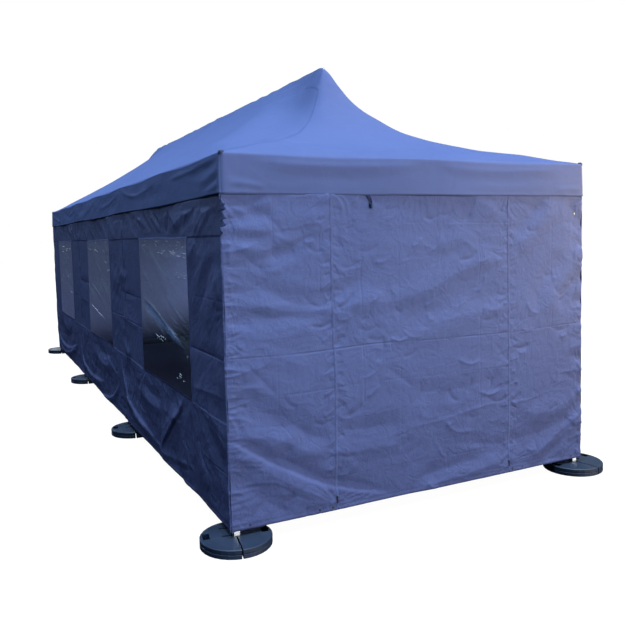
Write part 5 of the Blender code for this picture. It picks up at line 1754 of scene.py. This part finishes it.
# painted dim light: under the tent the floor glows a faint blue, which shows through the windows
duskInside = colourMix(floorTree, outdoors, (0.0034, 0.0036, 0.0085), (0.0, 0.0, 0.0))
glow = colourMix(floorTree, paleShare, duskInside, (0.97, 0.97, 0.97))
wire(floorTree, glow, floorShader["Emission Color"])
for label, value in (("Emission Strength", 1.0), ("Roughness", 0.9), ("Specular IOR Level", 0.0)):
    wire(floorTree, value, floorShader[label])
far = floorPlan["reach"]
floorEnds = [(-far, -far, 0), (far, -far, 0), (far, far, 0), (-far, far, 0)]
floor = newObject("floor", floorEnds, [(0, 1, 2, 3)], False)
floor.location.z = -floorPlan["drop"]
floor.data.materials.append(floorMaterial)

# the sky is white to the eye, and lights the tent softly: less from low down and from the left
skyPlan = {"white": (1.0, 1.0, 1.0), "tint": (0.64, 0.88, 1.14), "rise": (0.0, 0.95, 0.12, 0.50),
           "left": (-0.9, 0.3, 0.18, 1.0)}  # from, to, and how bright at each of them
world = bpy.data.worlds.new("studio")
bpy.context.scene.world = world
world.use_nodes = True
sky = world.node_tree
sky.nodes.clear()
seen = addNode(sky, "ShaderNodeBackground", (0, 200))
unseen = addNode(sky, "ShaderNodeBackground", (0, 0))
wire(sky, skyPlan["white"], seen.inputs[0])
wire(sky, skyPlan["tint"], unseen.inputs[0])
direction = addNode(sky, "ShaderNodeTexCoord", (-800, 0)).outputs["Generated"]
directionParts = splitParts(sky, direction)
skyRise = smoothRange(sky, (-400, 0), directionParts[2], *skyPlan["rise"])
leftShade = smoothRange(sky, (-400, -300), directionParts[0], *skyPlan["left"])
wire(sky, mathNode(sky, "MULTIPLY", skyRise, leftShade), unseen.inputs[1])
rays = addNode(sky, "ShaderNodeLightPath", (-400, 400)).outputs
direct = mathNode(sky, "LESS_THAN", rays["Transparent Depth"], 0.5)
either = addNode(sky, "ShaderNodeMixShader", (200, 100))
skyShares = (mathNode(sky, "MULTIPLY", direct, rays["Is Camera Ray"]), unseen.outputs[0], seen.outputs[0])
for socket, value in zip(either.inputs, skyShares):
    wire(sky, value, socket)
wire(sky, either.outputs[0], addNode(sky, "ShaderNodeOutputWorld", (400, 100)).inputs[0])


def addLight(name, kind, towards, strength, colour, **settings):
    data = bpy.data.lights.new(name, kind)
    data.energy = strength
    data.color = colour
    for key, value in settings.items():
        setattr(data, key, value)
    light = bpy.data.objects.new(name, data)
    bpy.context.scene.collection.objects.link(light)
    light.rotation_mode = "QUATERNION"
    light.rotation_quaternion = Vector(towards).to_track_quat("Z", "Y")
    return light


def sunLight(name, towards, strength, colour, angle):
    return addLight(name, "SUN", towards, strength, colour, angle=math.radians(angle))


sunLight("overhead", (-0.02, -0.14, 0.99), 8.6, (0.76, 0.96, 1.06), 20)
sunLight("upperLeft", (-0.50, -0.10, 0.86), 1.6, (0.72, 0.93, 1.08), 40)
sunLight("raking", (-0.42, 0.85, 0.32), 0.36, (0.60, 0.85, 1.15), 10)
sunLight("front", (0.48, -0.86, 0.12), 5.4, (0.99, 1.0, 0.99), 24)
fillPlace = Vector((2.6, -5.9, 2.3))
fillTarget = Vector((1.2, -4.5, 2.0))
frontFill = addLight("frontFill", "AREA", fillPlace - fillTarget, 135, (1.0, 0.64, 0.26),
                     shape="RECTANGLE", size=1.2, size_y=1.2)
frontFill.location = fillPlace
sunLight("behind", (0.25, 0.88, 0.40), 1.0, (0.95, 0.98, 1.05), 40)

camera = {
    "place": (-2.908480, -8.575508, 1.940283),
    "yaw": 0.4587656,
    "pitch": -0.0763187,
    "roll": -0.0229026,
    "focal": 700.269,
    "middle": (313.0, 290.0),
    "image": 627,
}
cameraData = bpy.data.cameras.new("camera")
cameraObject = bpy.data.objects.new("camera", cameraData)
bpy.context.scene.collection.objects.link(cameraObject)
yaw, pitch, roll = camera["yaw"], camera["pitch"], camera["roll"]
ahead = Vector((math.sin(yaw) * math.cos(pitch), math.cos(yaw) * math.cos(pitch), math.sin(pitch)))
right = Vector((math.cos(yaw), -math.sin(yaw), 0.0))
above = right.cross(ahead)
rolledRight = math.cos(roll) * right + math.sin(roll) * above
rolledUp = -math.sin(roll) * right + math.cos(roll) * above
turn = Matrix((rolledRight, rolledUp, -ahead)).transposed()
cameraObject.matrix_world = Matrix.Translation(camera["place"]) @ turn.to_4x4()
cameraData.sensor_fit = "AUTO"
cameraData.sensor_width = 36.0
cameraData.lens = 36.0 * camera["focal"] / camera["image"]
cameraData.shift_x = (camera["image"] / 2 - camera["middle"][0]) / camera["image"]
cameraData.shift_y = (camera["middle"][1] - camera["image"] / 2) / camera["image"]
cameraData.clip_end = 200.0
bpy.context.scene.camera = cameraObject
bpy.context.scene.view_settings.view_transform = "Standard"
